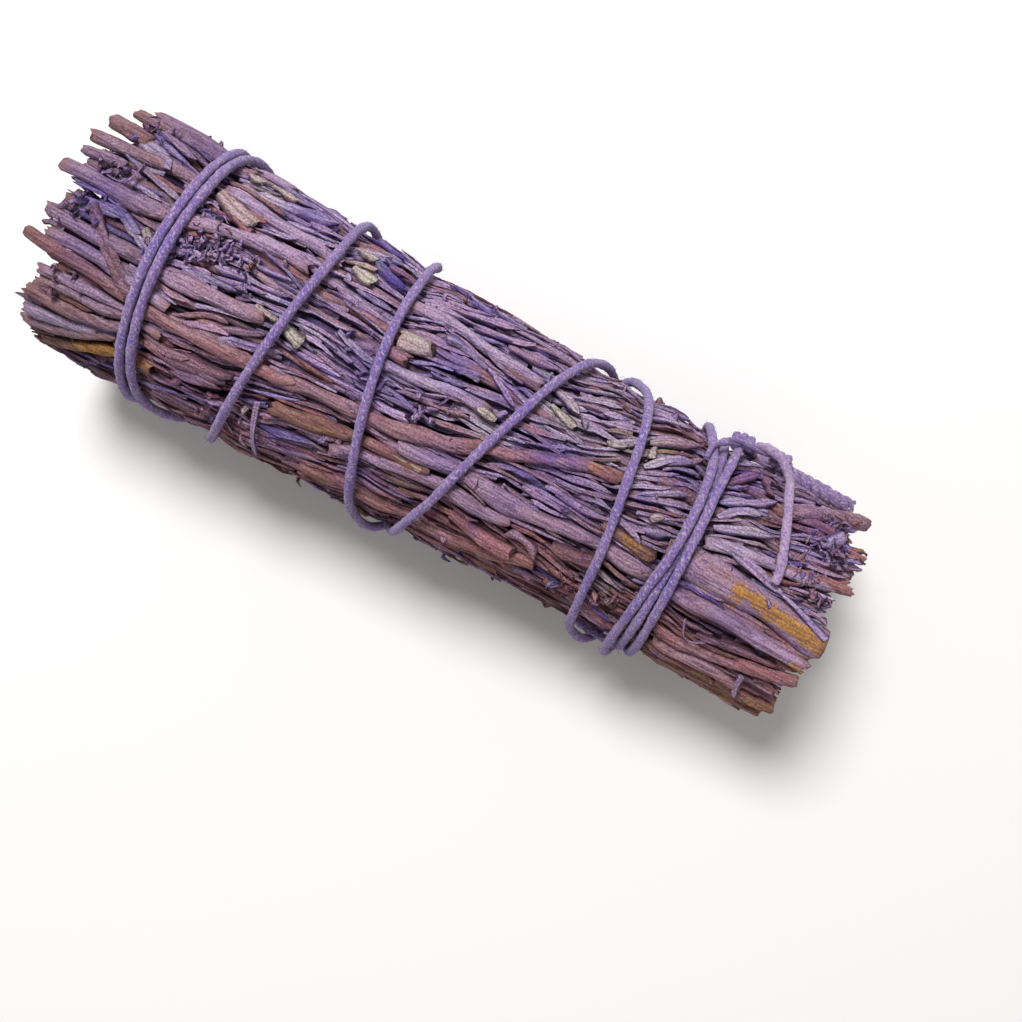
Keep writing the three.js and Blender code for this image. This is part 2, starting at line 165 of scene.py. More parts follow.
# Stems that lie at the outside: path of (x, angle), diameter, height of the top, tone
TOP_STEMS = [
    ([(-51, 13.5), (-44, 15), (-36, 18), (-29, 22), (-21.5, 27)], 1.6, 0.7, 0.52),
    ([(-50, -5), (-38, -5), (-29, -5), (-23, -3.5)], 1.76, 0.4, 0.54),
    ([(-48.8, -13), (-38, -15), (-33, -17)], 1.5, 0.3, 0.5),
    ([(-51, -16.5), (-45, -20), (-30, -22), (-17, -22)], 1.41, 0.7, 0.65),
    ([(-48.5, -30), (-36, -27)], 1.23, 0.2, 0.54),
    ([(-48, -35), (-38, -31), (-33, -30)], 1.06, 0.2, 0.58),
    ([(-49.4, -42), (-43, -41), (-36, -37)], 1.5, 0.35, 0.64),
    ([(-49.5, -52), (-40, -47)], 1.41, 0.1, 0.42),
    ([(-49.8, -61), (-45, -56), (-38, -46)], 1.5, 0.25, 0.6),
    ([(-47.5, -72), (-40, -57), (-33, -50)], 1.32, 0.2, 0.8),
    ([(-50.4, 33), (-44, 35.5), (-36, 37)], 1.58, 0.3, 0.57),
    ([(-50.4, 44.5), (-45.3, 43.5)], 1.85, 0.6, 0.64),
    ([(-49.5, 60), (-44, 62), (-34, 66)], 1.5, 0.3, 0.58),
    ([(-47.5, 70), (-38, 71)], 1.32, 0.1, 0.52),
    ([(-49.3, 80), (-40, 79), (-30, 78)], 1.67, 0.1, 0.5),
    ([(-35, 40), (-28, 40.5), (-19, 38)], 1.5, 0.4, 0.47),
    ([(-17.5, -23), (-9, -19), (0, -11.5), (5, -8)], 1.8, 0.6, 0.64),
    ([(4.5, -8), (10, -2), (17, 10), (21, 13.5)], 1.6, 0.65, 0.66),
    ([(-18, -37), (-10, -32), (-5, -28.5), (1, -27.5)], 1.6, 0.3, 0.76),
    ([(-3, -22), (5, -21), (12, -23), (24, -21.5), (33, -22), (50.2, -26)], 1.9, 0.5, 0.56),
    ([(-10, -43), (-3, -34), (2, -31), (12, -31)], 1.7, 0.25, 0.55),
    ([(-13, -62), (4, -62), (11, -56), (17, -47)], 2.2, 0.3, 0.72),
    ([(-10, 38), (-3, 36.5), (8, 36)], 1.4, 0.35, 0.44),
    ([(-10, 7), (-3, 7.5), (4, 7)], 1.3, 0.35, 0.44),
    ([(-8.8, 19), (-5.1, 20.5)], 2.1, 0.7, 0.93),
    ([(-10, 13.5), (-6.8, 12)], 1.4, 0.5, 0.64),
    ([(29.8, -6), (34, -6.8), (42, -9.5), (50.9, -13)], 4.6, 0.5, 0.53),
    ([(33, 4.5), (38, 8), (48, 16)], 1.5, 0.4, 0.42),
    ([(41, 12), (50.4, 18.5)], 1.4, 0.5, 0.67),
    ([(33, -49), (40, -45), (50.6, -35)], 1.7, 0.3, 0.68),
    ([(34, -57), (40, -53.5), (45.8, -57)], 2.0, 0.4, 0.6),
    ([(33, -64), (42, -62), (49, -66)], 1.8, 0.2, 0.72),
    ([(36, -75), (44, -69), (50.8, -61)], 2.2, 0.3, 0.77),
    ([(34, -85), (44, -82), (50.5, -76)], 2.0, 0.1, 0.75),
    ([(39, 42), (44, 52), (50.7, 72)], 1.9, 0.5, 0.62),
]
# Leaves that lie at the outside: root and tip as (x, angle), width, height, shape, tone
TOP_LEAVES = [
    ((-46.3, 43.5), (-40.8, 33), 1.9, 0.4, 0, 0.36),
    ((-45, 53), (-39.6, 45.5), 1.1, 0.6, 3, 0.5),
    ((-47.2, 49), (-42, 41), 1.3, 0.2, 1, 0.52),
    ((-46.2, 18.5), (-43.4, 30), 0.9, 0.5, 10, 0.5),
    ((-44.3, 29.5), (-38, 24), 0.9, 0.5, 3, 0.52),
    ((-50.4, 24), (-45, 27), 1.5, 0.2, 2, 0.56),
    ((-45.6, 4.5), (-37.2, -17), 1.8, 0.8, 12, 0.62),
    ((-48.6, -1), (-42, 7.5), 1.6, 0.2, 0, 0.3),
    ((-47.4, 4), (-41.8, 10), 1.5, 0.3, 6, 0.24),
    ((-43.4, 10.5), (-39.5, 5), 1.5, 0.3, 2, 0.28),
    ((-41.4, 6), (-37.6, -2), 1.2, 0.3, 0, 0.34),
    ((-39.3, 8.5), (-38, 3.5), 1.1, 0.35, 9, 0.97),
    ((-35, 37), (-29.4, 30), 2.3, 0.6, 9, 0.91),
    ((-33.4, 36), (-28.4, 33.6), 1.2, 0.55, 3, 0.71),
    ((-33, 32.6), (-29, 26.6), 1.2, 0.5, 12, 0.72),
    ((-34.6, 63), (-32.4, 58), 1.3, 0.2, 9, 0.96),
    ((-31.4, 61), (-27.6, 59), 1.2, 0.2, 2, 0.92),
    ((-28.6, 53), (-22.4, 60), 1.9, 0.35, 2, 0.38),
    ((-32, 50), (-26, 54), 1.7, 0.3, 6, 0.4),
    ((-20.6, -2.6), (-17.9, -5.4), 1.9, 0.3, 9, 1.0),
    ((-24.4, -0.8), (-21.6, -2.6), 0.9, 0.3, 9, 0.95),
    ((-31.4, -36.6), (-23.4, -30.4), 2.1, 0.5, 2, 0.64),
    ((-31, -39), (-24, -34.4), 1.7, 0.45, 6, 0.61),
    ((-30.5, -42), (-24.2, -38.6), 1.6, 0.35, 0, 0.63),
    ((-35, -35.4), (-28.6, -31.4), 1.3, 0.3, 1, 0.6),
    ((-19.7, -37), (-18.3, -65), 1.0, 0.8, 3, 0.5),
    ((-16, 47), (-10.8, 41.6), 1.6, 0.45, 1, 0.0),
    ((-18.6, 50), (-16, 46), 1.2, 0.3, 9, 0.99),
    ((-17.5, 38.4), (-14.6, 35.8), 1.4, 0.3, 9, 0.97),
    ((-9.2, 42.5), (2.4, 58), 1.1, 0.4, 6, 0.5),
    ((-9, 45.5), (-1, 58), 0.95, 0.35, 1, 0.47),
    ((-8.6, 40.8), (1.8, 48.4), 1.0, 0.3, 12, 0.46),
    ((-2.4, 42), (4.8, 53), 1.0, 0.45, 3, 0.5),
    ((2.2, 43.2), (8.6, 48.4), 1.2, 0.5, 2, 0.54),
    ((9.4, 38.4), (13.1, 29), 1.4, 0.5, 2, 0.5),
    ((9.9, 26.4), (13.4, 23.4), 1.3, 0.3, 9, 0.96),
    ((2.4, 24.4), (6.4, 14.6), 1.0, 0.45, 1, 0.46),
    ((5.2, 6), (2.4, 6.4), 1.0, 0.45, 11, 0.97),
    ((-3.4, -26), (0.4, -26.8), 1.2, 0.35, 14, 0.88),
    ((5.6, -40), (14, -44.5), 2.1, 0.85, 12, 0.702),
    ((12.6, -35), (16.6, -42), 1.4, 0.45, 4, 0.6),
    ((17.7, -32.6), (23.3, -30), 2.2, 0.6, 9, 0.733),
    ((21.6, -9.6), (28.6, -12.4), 1.9, 0.5, 9, 0.79),
    ((22.2, -2.4), (26.3, -9), 1.3, 0.5, 0, 0.5),
    ((18, 26), (21.8, 38), 1.3, 0.35, 5, 0.45),
    ((22, 36), (27.4, 49.6), 1.5, 0.4, 2, 0.58),
    ((22.6, 23), (27.4, 36), 1.5, 0.35, 0, 0.42),
    ((24.4, 28), (28.6, 43), 1.3, 0.35, 1, 0.6),
    ((22.7, 34), (23.0, 28), 1.0, 0.3, 9, 0.94),
    ((17.6, 25), (20, 31), 1.0, 0.35, 1, 0.96),
    ((25.9, 3.9), (27.3, 6.2), 1.1, 0.6, 11, 0.95),
    ((32.8, 19.4), (37.2, 30.4), 1.5, 0.45, 0, 0.37),
    ((33, 12.4), (39.4, 22), 1.6, 0.4, 2, 0.4),
    ((32.4, 27), (38.6, 45), 1.3, 0.4, 1, 0.42),
    ((32, 38.6), (35.3, 52.4), 1.5, 0.4, 2, 0.7),
    ((36.3, 55), (38, 46.4), 1.2, 0.45, 12, 0.7),
    ((36.4, 5), (43.8, 0.4), 1.6, 0.6, 0, 0.45),
    ((42.3, 1.8), (50.3, -7.6), 1.0, 0.75, 14, 0.44),
    ((45.4, -25.4), (50.2, -26.2), 1.3, 0.4, 14, 0.9),
    ((35.4, -31), (38.9, -35.6), 0.8, 0.45, 10, 0.55),
    ((44.9, -45.6), (45.9, -62.4), 0.9, 0.65, 3, 0.48),
    ((43.5, -84), (48.6, -86), 1.0, 0.3, 4, 0.88),
    ((45.2, 33), (47.4, 43), 1.8, 0.4, 9, 0.34),
]
# Crumbled leaf tips caught between the stems: x, angle, reach in mm, how many
CRUMBS = [
    (-33, 10.5, 4.2, 60), (-34.6, 24, 2.2, 20), (-28, 9, 2.6, 18), (-37.5, 3, 1.8, 10), (-10, -6, 2.2, 12),
    (-3, -3, 2.6, 14), (24, -48, 3.4, 26), (45, 14, 3.2, 32), (46.5, 32, 3.4, 44), (-24, -52, 3, 18),
    (-46.5, 24, 3.4, 22), (-46.5, 0, 3, 16), (-46, 50, 3.4, 20), (-46.5, -30, 3, 12), (48, 6, 2, 12),
    (47, 52, 3, 20),
]
# Which way the leaves lean from the bundle's length: x, angle, reach in mm, lean in degrees towards +Y
LEANS = [
    (-44, 45, 6, -27), (-42, 26, 4, 14), (-28, 8, 7, 8), (-27, -37, 7, 19), (-44, -45, 7, 12),
    (-26, 56, 7, 14), (-13, 14, 6, -8), (-15, 34, 5, -14), (-3, 49, 7, 28), (-2, 14, 5, 14), (5, 19, 4, -22),
    (12, -38, 7, -12), (-5, -38, 6, 14), (9, 48, 5, 12), (22, 26, 7, 30), (23, 46, 7, 34), (24, -42, 7, -18),
    (36, 25, 6, 28), (36, 45, 6, 34), (45, 46, 6, 34), (45, 22, 6, 10), (45, -1, 5, -9), (42, -40, 7, 8),
    (14, 8, 5, 16), (-20, -50, 6, 10),
]
# Dark gaps between the stems: x from and to, angle at each, half width in mm
DARK_GAPS = [
    (33, 48.5, -27.4, -31, 0.8), (-48.4, -41, -9.2, -10, 0.4), (-49, -40, -25.4, -24.6, 0.45),
    (-45, -38, -34, -32.5, 0.35), (-16.5, -12, 62, 62, 0.9), (33, 36, 0, 2, 0.4), (-8, 5, -38.5, -36, 0.45),
    (2, 9, -34.4, -35, 0.5), (-48.6, -46, 8.5, 9, 0.6),
]
# Where the dye has soaked in, and where the leaves took next to none: x, angle, reach in mm, strength
SOAKED = [
    (-26, 58, 3, 0.7), (-45, 9, 3, 0.6), (-44, -10, 3, 0.35), (-13, 46, 2, 0.8), (-10, 0, 3, 0.5),
    (-8.6, -8, 2.2, 0.6), (-2, 20, 3, 0.6), (13, 8, 3.4, 0.75), (5, 14, 2.4, 0.6), (-36, 0, 2, 0.4),
    (34, 49, 3.4, 0.6), (27, 31, 2.4, 0.5), (-28, -48, 3, 0.45), (-6, -46, 3, 0.5), (44, 40, 3.4, 0.45),
    (-16, -54, 3, 0.45), (-40, 64, 3.4, 0.4), (16, -12, 2.4, 0.4), (40, -27, 3, 0.4),
    (2, -22, 3, 0.35), (11, -23, 3, 0.3), (20, -22, 3, 0.25), (32, -22, 3, 0.35), (42, -24, 3, 0.25),
]
UNDYED = [
    (-31, 60, 3, 0.6), (-20, -4, 1.6, 0.7), (11, 27, 2.6, 0.75), (22, 31, 2.6, 0.7), (4, 6, 2, 0.6),
    (-0.6, -32, 2, 0.5), (25, -37, 2.2, 0.45), (-16.6, 42, 2, 0.6), (37, 22, 2, 0.4), (-24, -2, 1.6, 0.4),
    (13.5, 21, 2.4, 0.55), (19.5, 25, 2.4, 0.6), (34, 8, 2, 0.4), (-38, 26, 2.2, 0.4),
    (8, 22, 1.6, 0.4), (15, 52, 2.4, 0.35),
]
# Where bark has come off the stems and shows ochre wood: x, angle, reach in mm, strength
BARE_WOOD = [
    (36.8, -5, 0.8, 0.85), (38.2, -5.8, 0.95, 1), (39.7, -6.6, 1.1, 1), (41.3, -7.5, 1.2, 1),
    (43, -8.4, 1.3, 1), (44.8, -9.2, 1.3, 1), (46.6, -10.2, 1.4, 1), (48.4, -11, 1.5, 1),
    (50.2, -12, 1.5, 0.9), (46.5, -25.5, 0.9, 0.6), (49, -26, 1.2, 0.7), (-0.5, -26.4, 0.8, 0.5),
    (14, 5.5, 2, 0.45), (17.5, 10, 2.2, 0.5), (35.5, -13, 2, 0.5), (39, -15, 1.8, 0.55),
    (43, -16.5, 1.6, 0.5), (46, -79, 2, 0.5), (48.5, -66, 1.6, 0.6),
]


def linear(colour):
    """An sRGB hex colour as linear red, green, blue and alpha."""
    parts = [int(colour[i : i + 2], 16) / 255 for i in (1, 3, 5)]
    return [p / 12.92 if p <= 0.04045 else ((p + 0.055) / 1.055) ** 2.4 for p in parts] + [1.0]


def dye(name, description, colour):
    """A colour that a user may change."""
    return FloatVectorProperty(
        name=name, description=description, subtype="COLOR", size=4, min=0, max=1, default=linear(colour)
    )


class BundleSizes(bpy.types.PropertyGroup):
    """Sizes and numbers of the finer pieces"""

    leaves: IntProperty(
        name="Leaves", description="Leaves tried in a layer, by its share", default=1500, min=100, max=3000
    )
    leaf_length: FloatProperty(
        name="Leaf length", description="Length of a middling leaf", default=0.0082, unit="LENGTH"
    )
    leaf_width: FloatProperty(
        name="Leaf width", description="Width of a middling leaf, rolled", default=0.00082, unit="LENGTH"
    )
    side_stems: IntProperty(
        name="Side stems", description="Thin stems beside the main one", default=4, min=0, max=8
    )
    lay: FloatProperty(
        name="Lay", description="Length in which the string's plies turn once", default=0.0046, unit="LENGTH"
    )
    fuzz: IntProperty(name="Fuzz", description="Loose fibres on the string", default=2800, min=0, max=5000)
    seed: IntProperty(name="Seed", description="Seed of everything scattered", default=7)


class BundleColours(bpy.types.PropertyGroup):
    """Colours of the dyed leaves, the stems, the string and the floor, and of the painted shade between the
    leaves
    """

    indigo: dye("Indigo", "Leaves soaked in dye", "#302a78")
    violet: dye("Violet", "Leaves well dyed", "#6650a0")
    lavender: dye("Lavender", "Grey leaves", "#b3a2be")
    mauve: dye("Mauve", "Most leaves", "#ad8fb0")
    umber: dye("Umber", "Thinly dyed leaves and stems", "#9b7884")
    red: dye("Red", "Leaves with their own red", "#9c676c")
    brown: dye("Brown", "Bark", "#835f52")
    ochre: dye("Ochre", "Bare wood", "#b5802f")
    tan: dye("Tan", "Broken edges", "#b69ca0")
    sage: dye("Sage", "Leaves that took no dye", "#b4aca2")
    # The next two colours are dye dried in creases and between the leaves, and also painted shade there:
    # violet on dyed leaves, brown on brown ones. The third is painted shade deeper in.
    pool: dye("Pool", "Dye pooled along the edges and between the leaves", "#432f66")
    brown_dregs_and_shade: dye("Dregs", "Dye dried in the creases of brown leaves and stems", "#422735")
    shade: dye("Shade", "Deep between the leaves", "#22132f")
    string: dye("String", "Dyed cotton", "#846a9c")
    fleck: dye("Fleck", "Worn fibres", "#c0b0cc")
    floor: dye("Floor", "Pale floor", "#e9e7e6")


def scatter(a, b):
    """Repeatable scatter from 0 to 1 for a pair of numbers, as in the part's own drawing."""
    s = np.sin(np.asarray(a, float) * 12.9898 + np.asarray(b, float) * 78.233) * 43758.5453
    return s - np.floor(s)


def smoothstep(x, low, high):
    """A smooth rise from 0 at low to 1 at high."""
    t = np.clip((np.asarray(x, float) - low) / (high - low), 0, 1)
    return t * t * (3 - 2 * t)


def leaf_radius(x):
    """How far the leaves reach from the bundle's axis."""
    return WIDE_RADIUS - (WIDE_RADIUS - NARROW_RADIUS) * smoothstep(x, -45, 55)


def axis_height(x):
    """The height of the bundle's axis over the floor."""
    return leaf_radius(x) + STRING_HEIGHT + STRING_RADIUS - REST_FLAT


def middle_of(count, i, x):
    """The angle of the middle of a ring's sprig i at x."""

    def border(k):
        wave = (x / WANDER_LENGTH + scatter(k % count, count)) * 2 * math.pi
        return 360 / count * k + WANDER * np.sin(wave)

    return (border(i) + border(i + 1)) / 2


def turned(angle):
    """An angle brought between -180 and 180 degrees."""
    return (np.asarray(angle, float) + 180) % 360 - 180


def curve_through(points, u):
    """Places on a smooth curve through points, at each u, which counts the points."""
    i = np.minimum(u.astype(int), len(points) - 2)
    t = (u - i)[:, None]
    a, b, c, d = (points[np.clip(i + k, 0, len(points) - 1)] for k in (-1, 0, 1, 2))
    return 0.5 * (2 * b + (c - a) * t + (2 * a - 5 * b + 4 * c - d) * t**2 + (3 * (b - c) + d - a) * t**3)


def route_at(u):
    """The string's place at each u, which counts the points of its route."""
    return curve_through(np.array(STRING_ROUTE, float), u)


def hold_map():
    """How deep the string holds the leaves down, on a fine net of the unrolled bundle."""
    x = np.linspace(-NET_END, NET_END, 2 * NET_END * NET_PER_MM + 1)
    angle = np.arange(0, 360, 1.0)
    depth = np.zeros((len(x), len(angle)))
    places = route_at(np.arange(0, len(STRING_ROUTE) - 1, 0.1))
    for string_x, string_angle, lift in list(places) + [(k[0], k[1], -0.4) for k in KNOTS]:
        across = np.radians(np.abs(turned(angle - string_angle))) * WIDE_RADIUS
        apart = (x[:, None] - string_x) ** 2 + across[None, :] ** 2
        depth = np.maximum(depth, max(HOLD_DEPTH - lift, 0) * np.exp(-apart / HOLD_REACH**2))
    return depth


HOLD = hold_map()


def held_depth(x, angle):
    """The hold map read between the knots of its net."""
    fx = np.clip((x + NET_END) * NET_PER_MM, 0, HOLD.shape[0] - 1.001)
    fa = angle % 360
    ix, ia = fx.astype(int), fa.astype(int) % 360
    tx, ta = fx - ix, fa - np.floor(fa)
    low = HOLD[ix, ia] * (1 - ta) + HOLD[ix, (ia + 1) % 360] * ta
    high = HOLD[ix + 1, ia] * (1 - ta) + HOLD[ix + 1, (ia + 1) % 360] * ta
    return low * (1 - tx) + high * tx


def swell(x, a):
    """How the squeezed bundle's surface rises and falls a little between places."""
    rise = 0.15 * np.sin(3 * a + x / 11 + 1.1) + 0.13 * np.sin(7 * a - x / 7 + 0.4)
    rise += 0.12 * np.sin(13 * a + x / 4.3) + 0.1 * np.sin(19 * a - x / 2.9 + 2.0)
    return rise + 0.08 * np.sin(5 * a + x / 1.9)


def drift(x, a):
    """How leaves that lie together wander round the bundle together."""
    shift = 0.34 * np.sin(4 * a + x / 5.1) + 0.2 * np.sin(9 * a - x / 2.7 + 0.7)
    return shift + 0.1 * np.sin(17 * a + x / 1.4)


def spotted(x, angle, spots):
    """How strongly places lie in any of the spots."""
    found = np.zeros_like(x)
    for spot_x, spot_angle, reach, strength in spots:
        apart = (x - spot_x) ** 2 + (turned(angle - spot_angle) * ARC) ** 2
        found = np.maximum(found, strength * np.exp(-apart / reach**2))
    return found


def softly_under(value, limit, softness):
    """A value kept under its limit, with a soft bend where it comes near."""
    return -softness * np.logaddexp(-value / softness, -limit / softness)


def vertex_places(mesh):
    """The places of a mesh's vertices, one to a row."""
    flat = np.empty(len(mesh.vertices) * 3, np.float32)
    mesh.vertices.foreach_get("co", flat)
    return flat.reshape(-1, 3)


def place_vertices(mesh, places):
    """Puts a mesh's vertices at new places."""
    mesh.vertices.foreach_set("co", places.astype(np.float32).ravel())


def roll_up(mesh):
    """Rolls a mesh made in the unrolled bundle round its axis, held in by the string, in metres."""
    x, arc, height = vertex_places(mesh).astype(float).T
    a = arc / UNROLLED_RADIUS
    a = a + drift(x, a) * smoothstep(51 - np.abs(x), 0, 12) / UNROLLED_RADIUS
    angle = np.degrees(a)
    held = held_depth(x, angle)
    swelling = 0.5 * swell(x, a)
    # Nothing stands out far, least of all under the string, whose hold fades towards the axis
    limit = np.minimum(swelling + 0.8, 0.9) - 0.8 * held
    height = softly_under(height + swelling, limit, 0.16)
    depth = held * np.exp(np.minimum(height, 0) / 7)
    distance = np.maximum(leaf_radius(x) + height - depth, 0.05)
    x = np.sign(x) * softly_under(np.abs(x), HALF_LENGTH, 0.1)
    placed = np.stack([x, distance * np.sin(a), axis_height(x) + distance * np.cos(a)], 1)
    placed[:, 2] = np.maximum(placed[:, 2], 0.05)
    place_vertices(mesh, placed * MM)
    # Dye and painted shade deepen inwards, and less so at the cut ends, where the inside lies open
    closed = 1 - 0.8 * smoothstep(np.abs(x) + 6 * smoothstep(-height, 3, 5), 42.5, 48)
    set_attribute(mesh, "buried", "FLOAT", np.clip(-height / 3.2, 0, 1) * closed)
    set_attribute(mesh, "soaked", "FLOAT", spotted(x, angle, SOAKED))
    set_attribute(mesh, "undyed", "FLOAT", spotted(x, angle, UNDYED))
    set_attribute(mesh, "bare_wood", "FLOAT", spotted(x, angle, BARE_WOOD))
    # Painted shade darkens the wide end
    set_attribute(mesh, "handled", "FLOAT", smoothstep(-x, 33, 42))
    mesh.update()


def add(tree, kind, inputs=None, **settings):
    """Adds a node with its settings, and its inputs from values, sockets or other nodes."""
    made = tree.nodes.new(kind)
    for name, value in settings.items():
        setattr(made, name, value)
    for socket, value in (inputs or {}).items():
        if isinstance(value, bpy.types.Node):
            value = next(s for s in value.outputs if s.enabled)
        if isinstance(value, bpy.types.NodeSocket):
            tree.links.new(value, made.inputs[socket])
        else:
            made.inputs[socket].default_value = value
    return made


def new_tree(name, inputs):
    """A Geometry Nodes tree with named inputs, and its input node."""
    tree = bpy.data.node_groups.new(name, "GeometryNodeTree")
    for label, kind in {"Geometry": "Geometry", **inputs}.items():
        tree.interface.new_socket(name=label, in_out="INPUT", socket_type=f"NodeSocket{kind}")
    tree.interface.new_socket(name="Geometry", in_out="OUTPUT", socket_type="NodeSocketGeometry")
    return tree, add(tree, "NodeGroupInput").outputs


def use_tree(holder, tree, values):
    """Puts a Geometry Nodes tree on an object, sets its inputs, and keeps the result as a plain mesh."""
    modifier = holder.modifiers.new(tree.name, "NODES")
    modifier.node_group = tree
    for item in tree.interface.items_tree:
        if item.in_out == "INPUT" and item.name in values:
            modifier[item.identifier] = values[item.name]
    graph = bpy.context.evaluated_depsgraph_get()
    mesh = bpy.data.meshes.new_from_object(
        holder.evaluated_get(graph), preserve_all_data_layers=True, depsgraph=graph
    )
    name = holder.name
    bpy.data.meshes.remove(holder.data)
    made = bpy.data.objects.new(name, mesh)
    bpy.context.scene.collection.objects.link(made)
    return made


def new_object(name, vertices, edges=(), faces=()):
    """A new mesh object in the scene."""
    mesh = bpy.data.meshes.new(name)
    mesh.from_pydata([tuple(map(float, v)) for v in vertices], edges, faces)
    made = bpy.data.objects.new(name, mesh)
    bpy.context.scene.collection.objects.link(made)
    return made


def set_attribute(mesh, name, kind, values):
    """Gives a mesh a named value for each vertex."""
    made = mesh.attributes.new(name, kind, "POINT")
    field = "vector" if kind == "FLOAT_VECTOR" else "value"
    made.data.foreach_set(field, np.asarray(values, np.float32 if "FLOAT" in kind else int).ravel())


# A leaf's section runs from edge to edge over its face, and back under its midrib
ACROSS = np.array([-1, -0.5, 0, 0.5, 1, 0])
UNDER = np.array([0, 0, 0, 0, 0, 1])
BLADE_THICKNESS = 0.2
WIDTHS = {
    "lance": (0.4, 0.75, 0.95, 1.0, 0.97, 0.85, 0.6, 0.1),
    "broad": (0.4, 0.85, 1.05, 1.1, 1.08, 0.98, 0.72, 0.2),
    "strip": (0.7, 0.86, 0.9, 0.86, 0.9, 0.84, 0.75, 0.3),
    "torn": (0.6, 0.85, 0.95, 1.0, 1.05, 1.02, 1.1, 0.85),
    "thread": (0.5, 0.45, 0.42, 0.4, 0.4, 0.38, 0.34, 0.2),
    "peel": (0.05, 0.3, 0.5, 0.65, 0.8, 0.92, 1.0, 1.0),
    "scale": (0.5, 1.1, 1.3, 1.15, 0.7, 0.2),
    "crumb": (0.5, 0.95, 1.0, 0.7, 0.4),
}
# Leaf shapes, one unit long and one wide: outline, curl of the edges, groove over the midrib, twist,
# bow upwards, sway to a side, waviness, droop of the tip, and how often the shape is used
LEAF_SHAPES = [
    ("lance", 1.9, 0.22, 0.15, 0.1, 0.16, 0.05, 0.0, 14),
    ("lance", 1.6, 0.3, -0.25, 0.05, -0.25, 0.06, 0.0, 12),
    ("broad", 1.4, 0.2, 0.2, 0.1, 0.15, 0.08, 0.0, 7),
    ("strip", 2.0, 0.25, 0.4, 0.04, 0.25, 0.04, 0.0, 12),
    ("strip", 2.3, 0.0, 0.5, 0.06, -0.3, 0.05, 0.0, 8),
    ("lance", 1.9, 0.0, -0.4, 0.12, 0.35, 0.06, 0.2, 7),
    ("broad", 1.8, 0.3, 0.35, 0.08, -0.2, 0.06, 0.0, 9),
    ("strip", 1.5, 0.3, 0.6, 0.05, 0.2, 0.06, 0.0, 9),
    ("lance", -0.7, 0.0, 0.3, 0.1, 0.25, 0.08, 0.2, 3),
    ("torn", 0.9, 0.12, 0.15, 0.05, 0.1, 0.1, 0.0, 3),
    ("thread", 2.2, 0.0, 0.4, 0.3, 1.6, 0.2, 0.0, 0),
    ("scale", 1.4, 0.1, 0.2, 0.2, 0.1, 0.1, 0.0, 1),
    ("torn", 1.8, 0.2, -0.5, 0.06, -0.25, 0.08, 0.0, 6),
    ("crumb", 2.2, 0.0, 1.5, 0.4, 0.9, 0.3, 0.0, 0),
    ("peel", 0.7, 0.0, 0.0, 0.0, 0.0, 0.0, 0.0, 0),
    ("strip", 2.2, 0.2, -0.6, 0.2, 0.5, 0.08, 0.4, 2),
]
CHANCES = np.array([shape[-1] for shape in LEAF_SHAPES]) / sum(shape[-1] for shape in LEAF_SHAPES)
# Shapes by their number: of the broad bed leaves, of crumbs, of leaves cut off at the ends, of peeled bark
BROAD = 2
CRUMB_SHAPES = (11, 11, 13)
CUT_SHAPES = (0, 3, 4, 7, 12)
PEEL = 14


def leaf_shape(number, outline, curl, groove, twist, bow, sway, wave, droop, _):
    """One closed leaf blade, rolled, grooved, twisted and bent."""
    widths = WIDTHS[outline]
    last = len(widths) - 1
    rings = []
    sway *= 2 / unrolled(number)
    for s, width in enumerate(widths):
        t = s / last
        bend = curl * (0.7 + 0.5 * math.sin(math.pi * t))
        side = np.sin(bend * ACROSS) / bend * width / 2
        rise = (np.cos(bend * ACROSS) - 1) / bend * width / 2 - groove * (ACROSS == 0) * width / 2
        rise += wave * ACROSS * math.sin(9 * t + number) - UNDER * BLADE_THICKNESS
        turn = twist * (t - 0.3) * 2
        chord = math.sin(number) + t * (math.sin(2.4 + number) - math.sin(number))
        y = side * math.cos(turn) - rise * math.sin(turn) + sway * (math.sin(2.4 * t + number) - chord)
        z = side * math.sin(turn) + rise * math.cos(turn) + bow * math.sin(math.pi * t)
        z -= droop * 4 * max(t - 0.6, 0) ** 2
        ragged = 0.05 * np.sin(ACROSS * 9 + number) if outline == "torn" and s == last else 0
        rings.append(np.stack([t + ragged + 0 * y, y, z], 1))
    size = len(ACROSS)
    count = size * len(widths)
    faces = [tuple(range(size)), tuple(range(count - 1, count - 1 - size, -1))]
    for r in range(last):
        for k in range(size):
            a, b = r * size + k, r * size + (k + 1) % size
            faces.append((b, a, a + size, b + size))
    made = new_object(f"leaf_shape_{number:02d}", np.concatenate(rings), (), faces)
    set_attribute(made.data, "along", "FLOAT", np.repeat(np.linspace(0, 1, len(widths)), size))
    set_attribute(made.data, "across", "FLOAT", np.tile(ACROSS, len(widths)))
    return made


def unrolled(shape):
    """How many times wider than the rolled leaf its blade is."""
    curl = abs(LEAF_SHAPES[shape][1])
    return curl / math.sin(min(curl, math.pi / 2))


def leaf_shapes():
    """The leaf shapes, in a collection of their own that the scene doesn't show."""
    shapes = bpy.data.collections.new("leaf_shapes")
    for number, shape in enumerate(LEAF_SHAPES):
        made = leaf_shape(number, *shape)
        bpy.context.scene.collection.objects.unlink(made)
        shapes.objects.link(made)
    return shapes


def drop_shapes(shapes):
    """Removes the leaf shapes again."""
    for made in list(shapes.objects):
        bpy.data.meshes.remove(made.data)
    bpy.data.collections.remove(shapes)


# What the tree reads about each leaf point; the rest is numbers, of the leaves' and the stems' points
SPRIG_ATTRIBUTES = {
    "is_leaf": "BOOLEAN",
    "shape": "INT",
    "turn": "FLOAT_VECTOR",
    "stretch": "FLOAT_VECTOR",
}


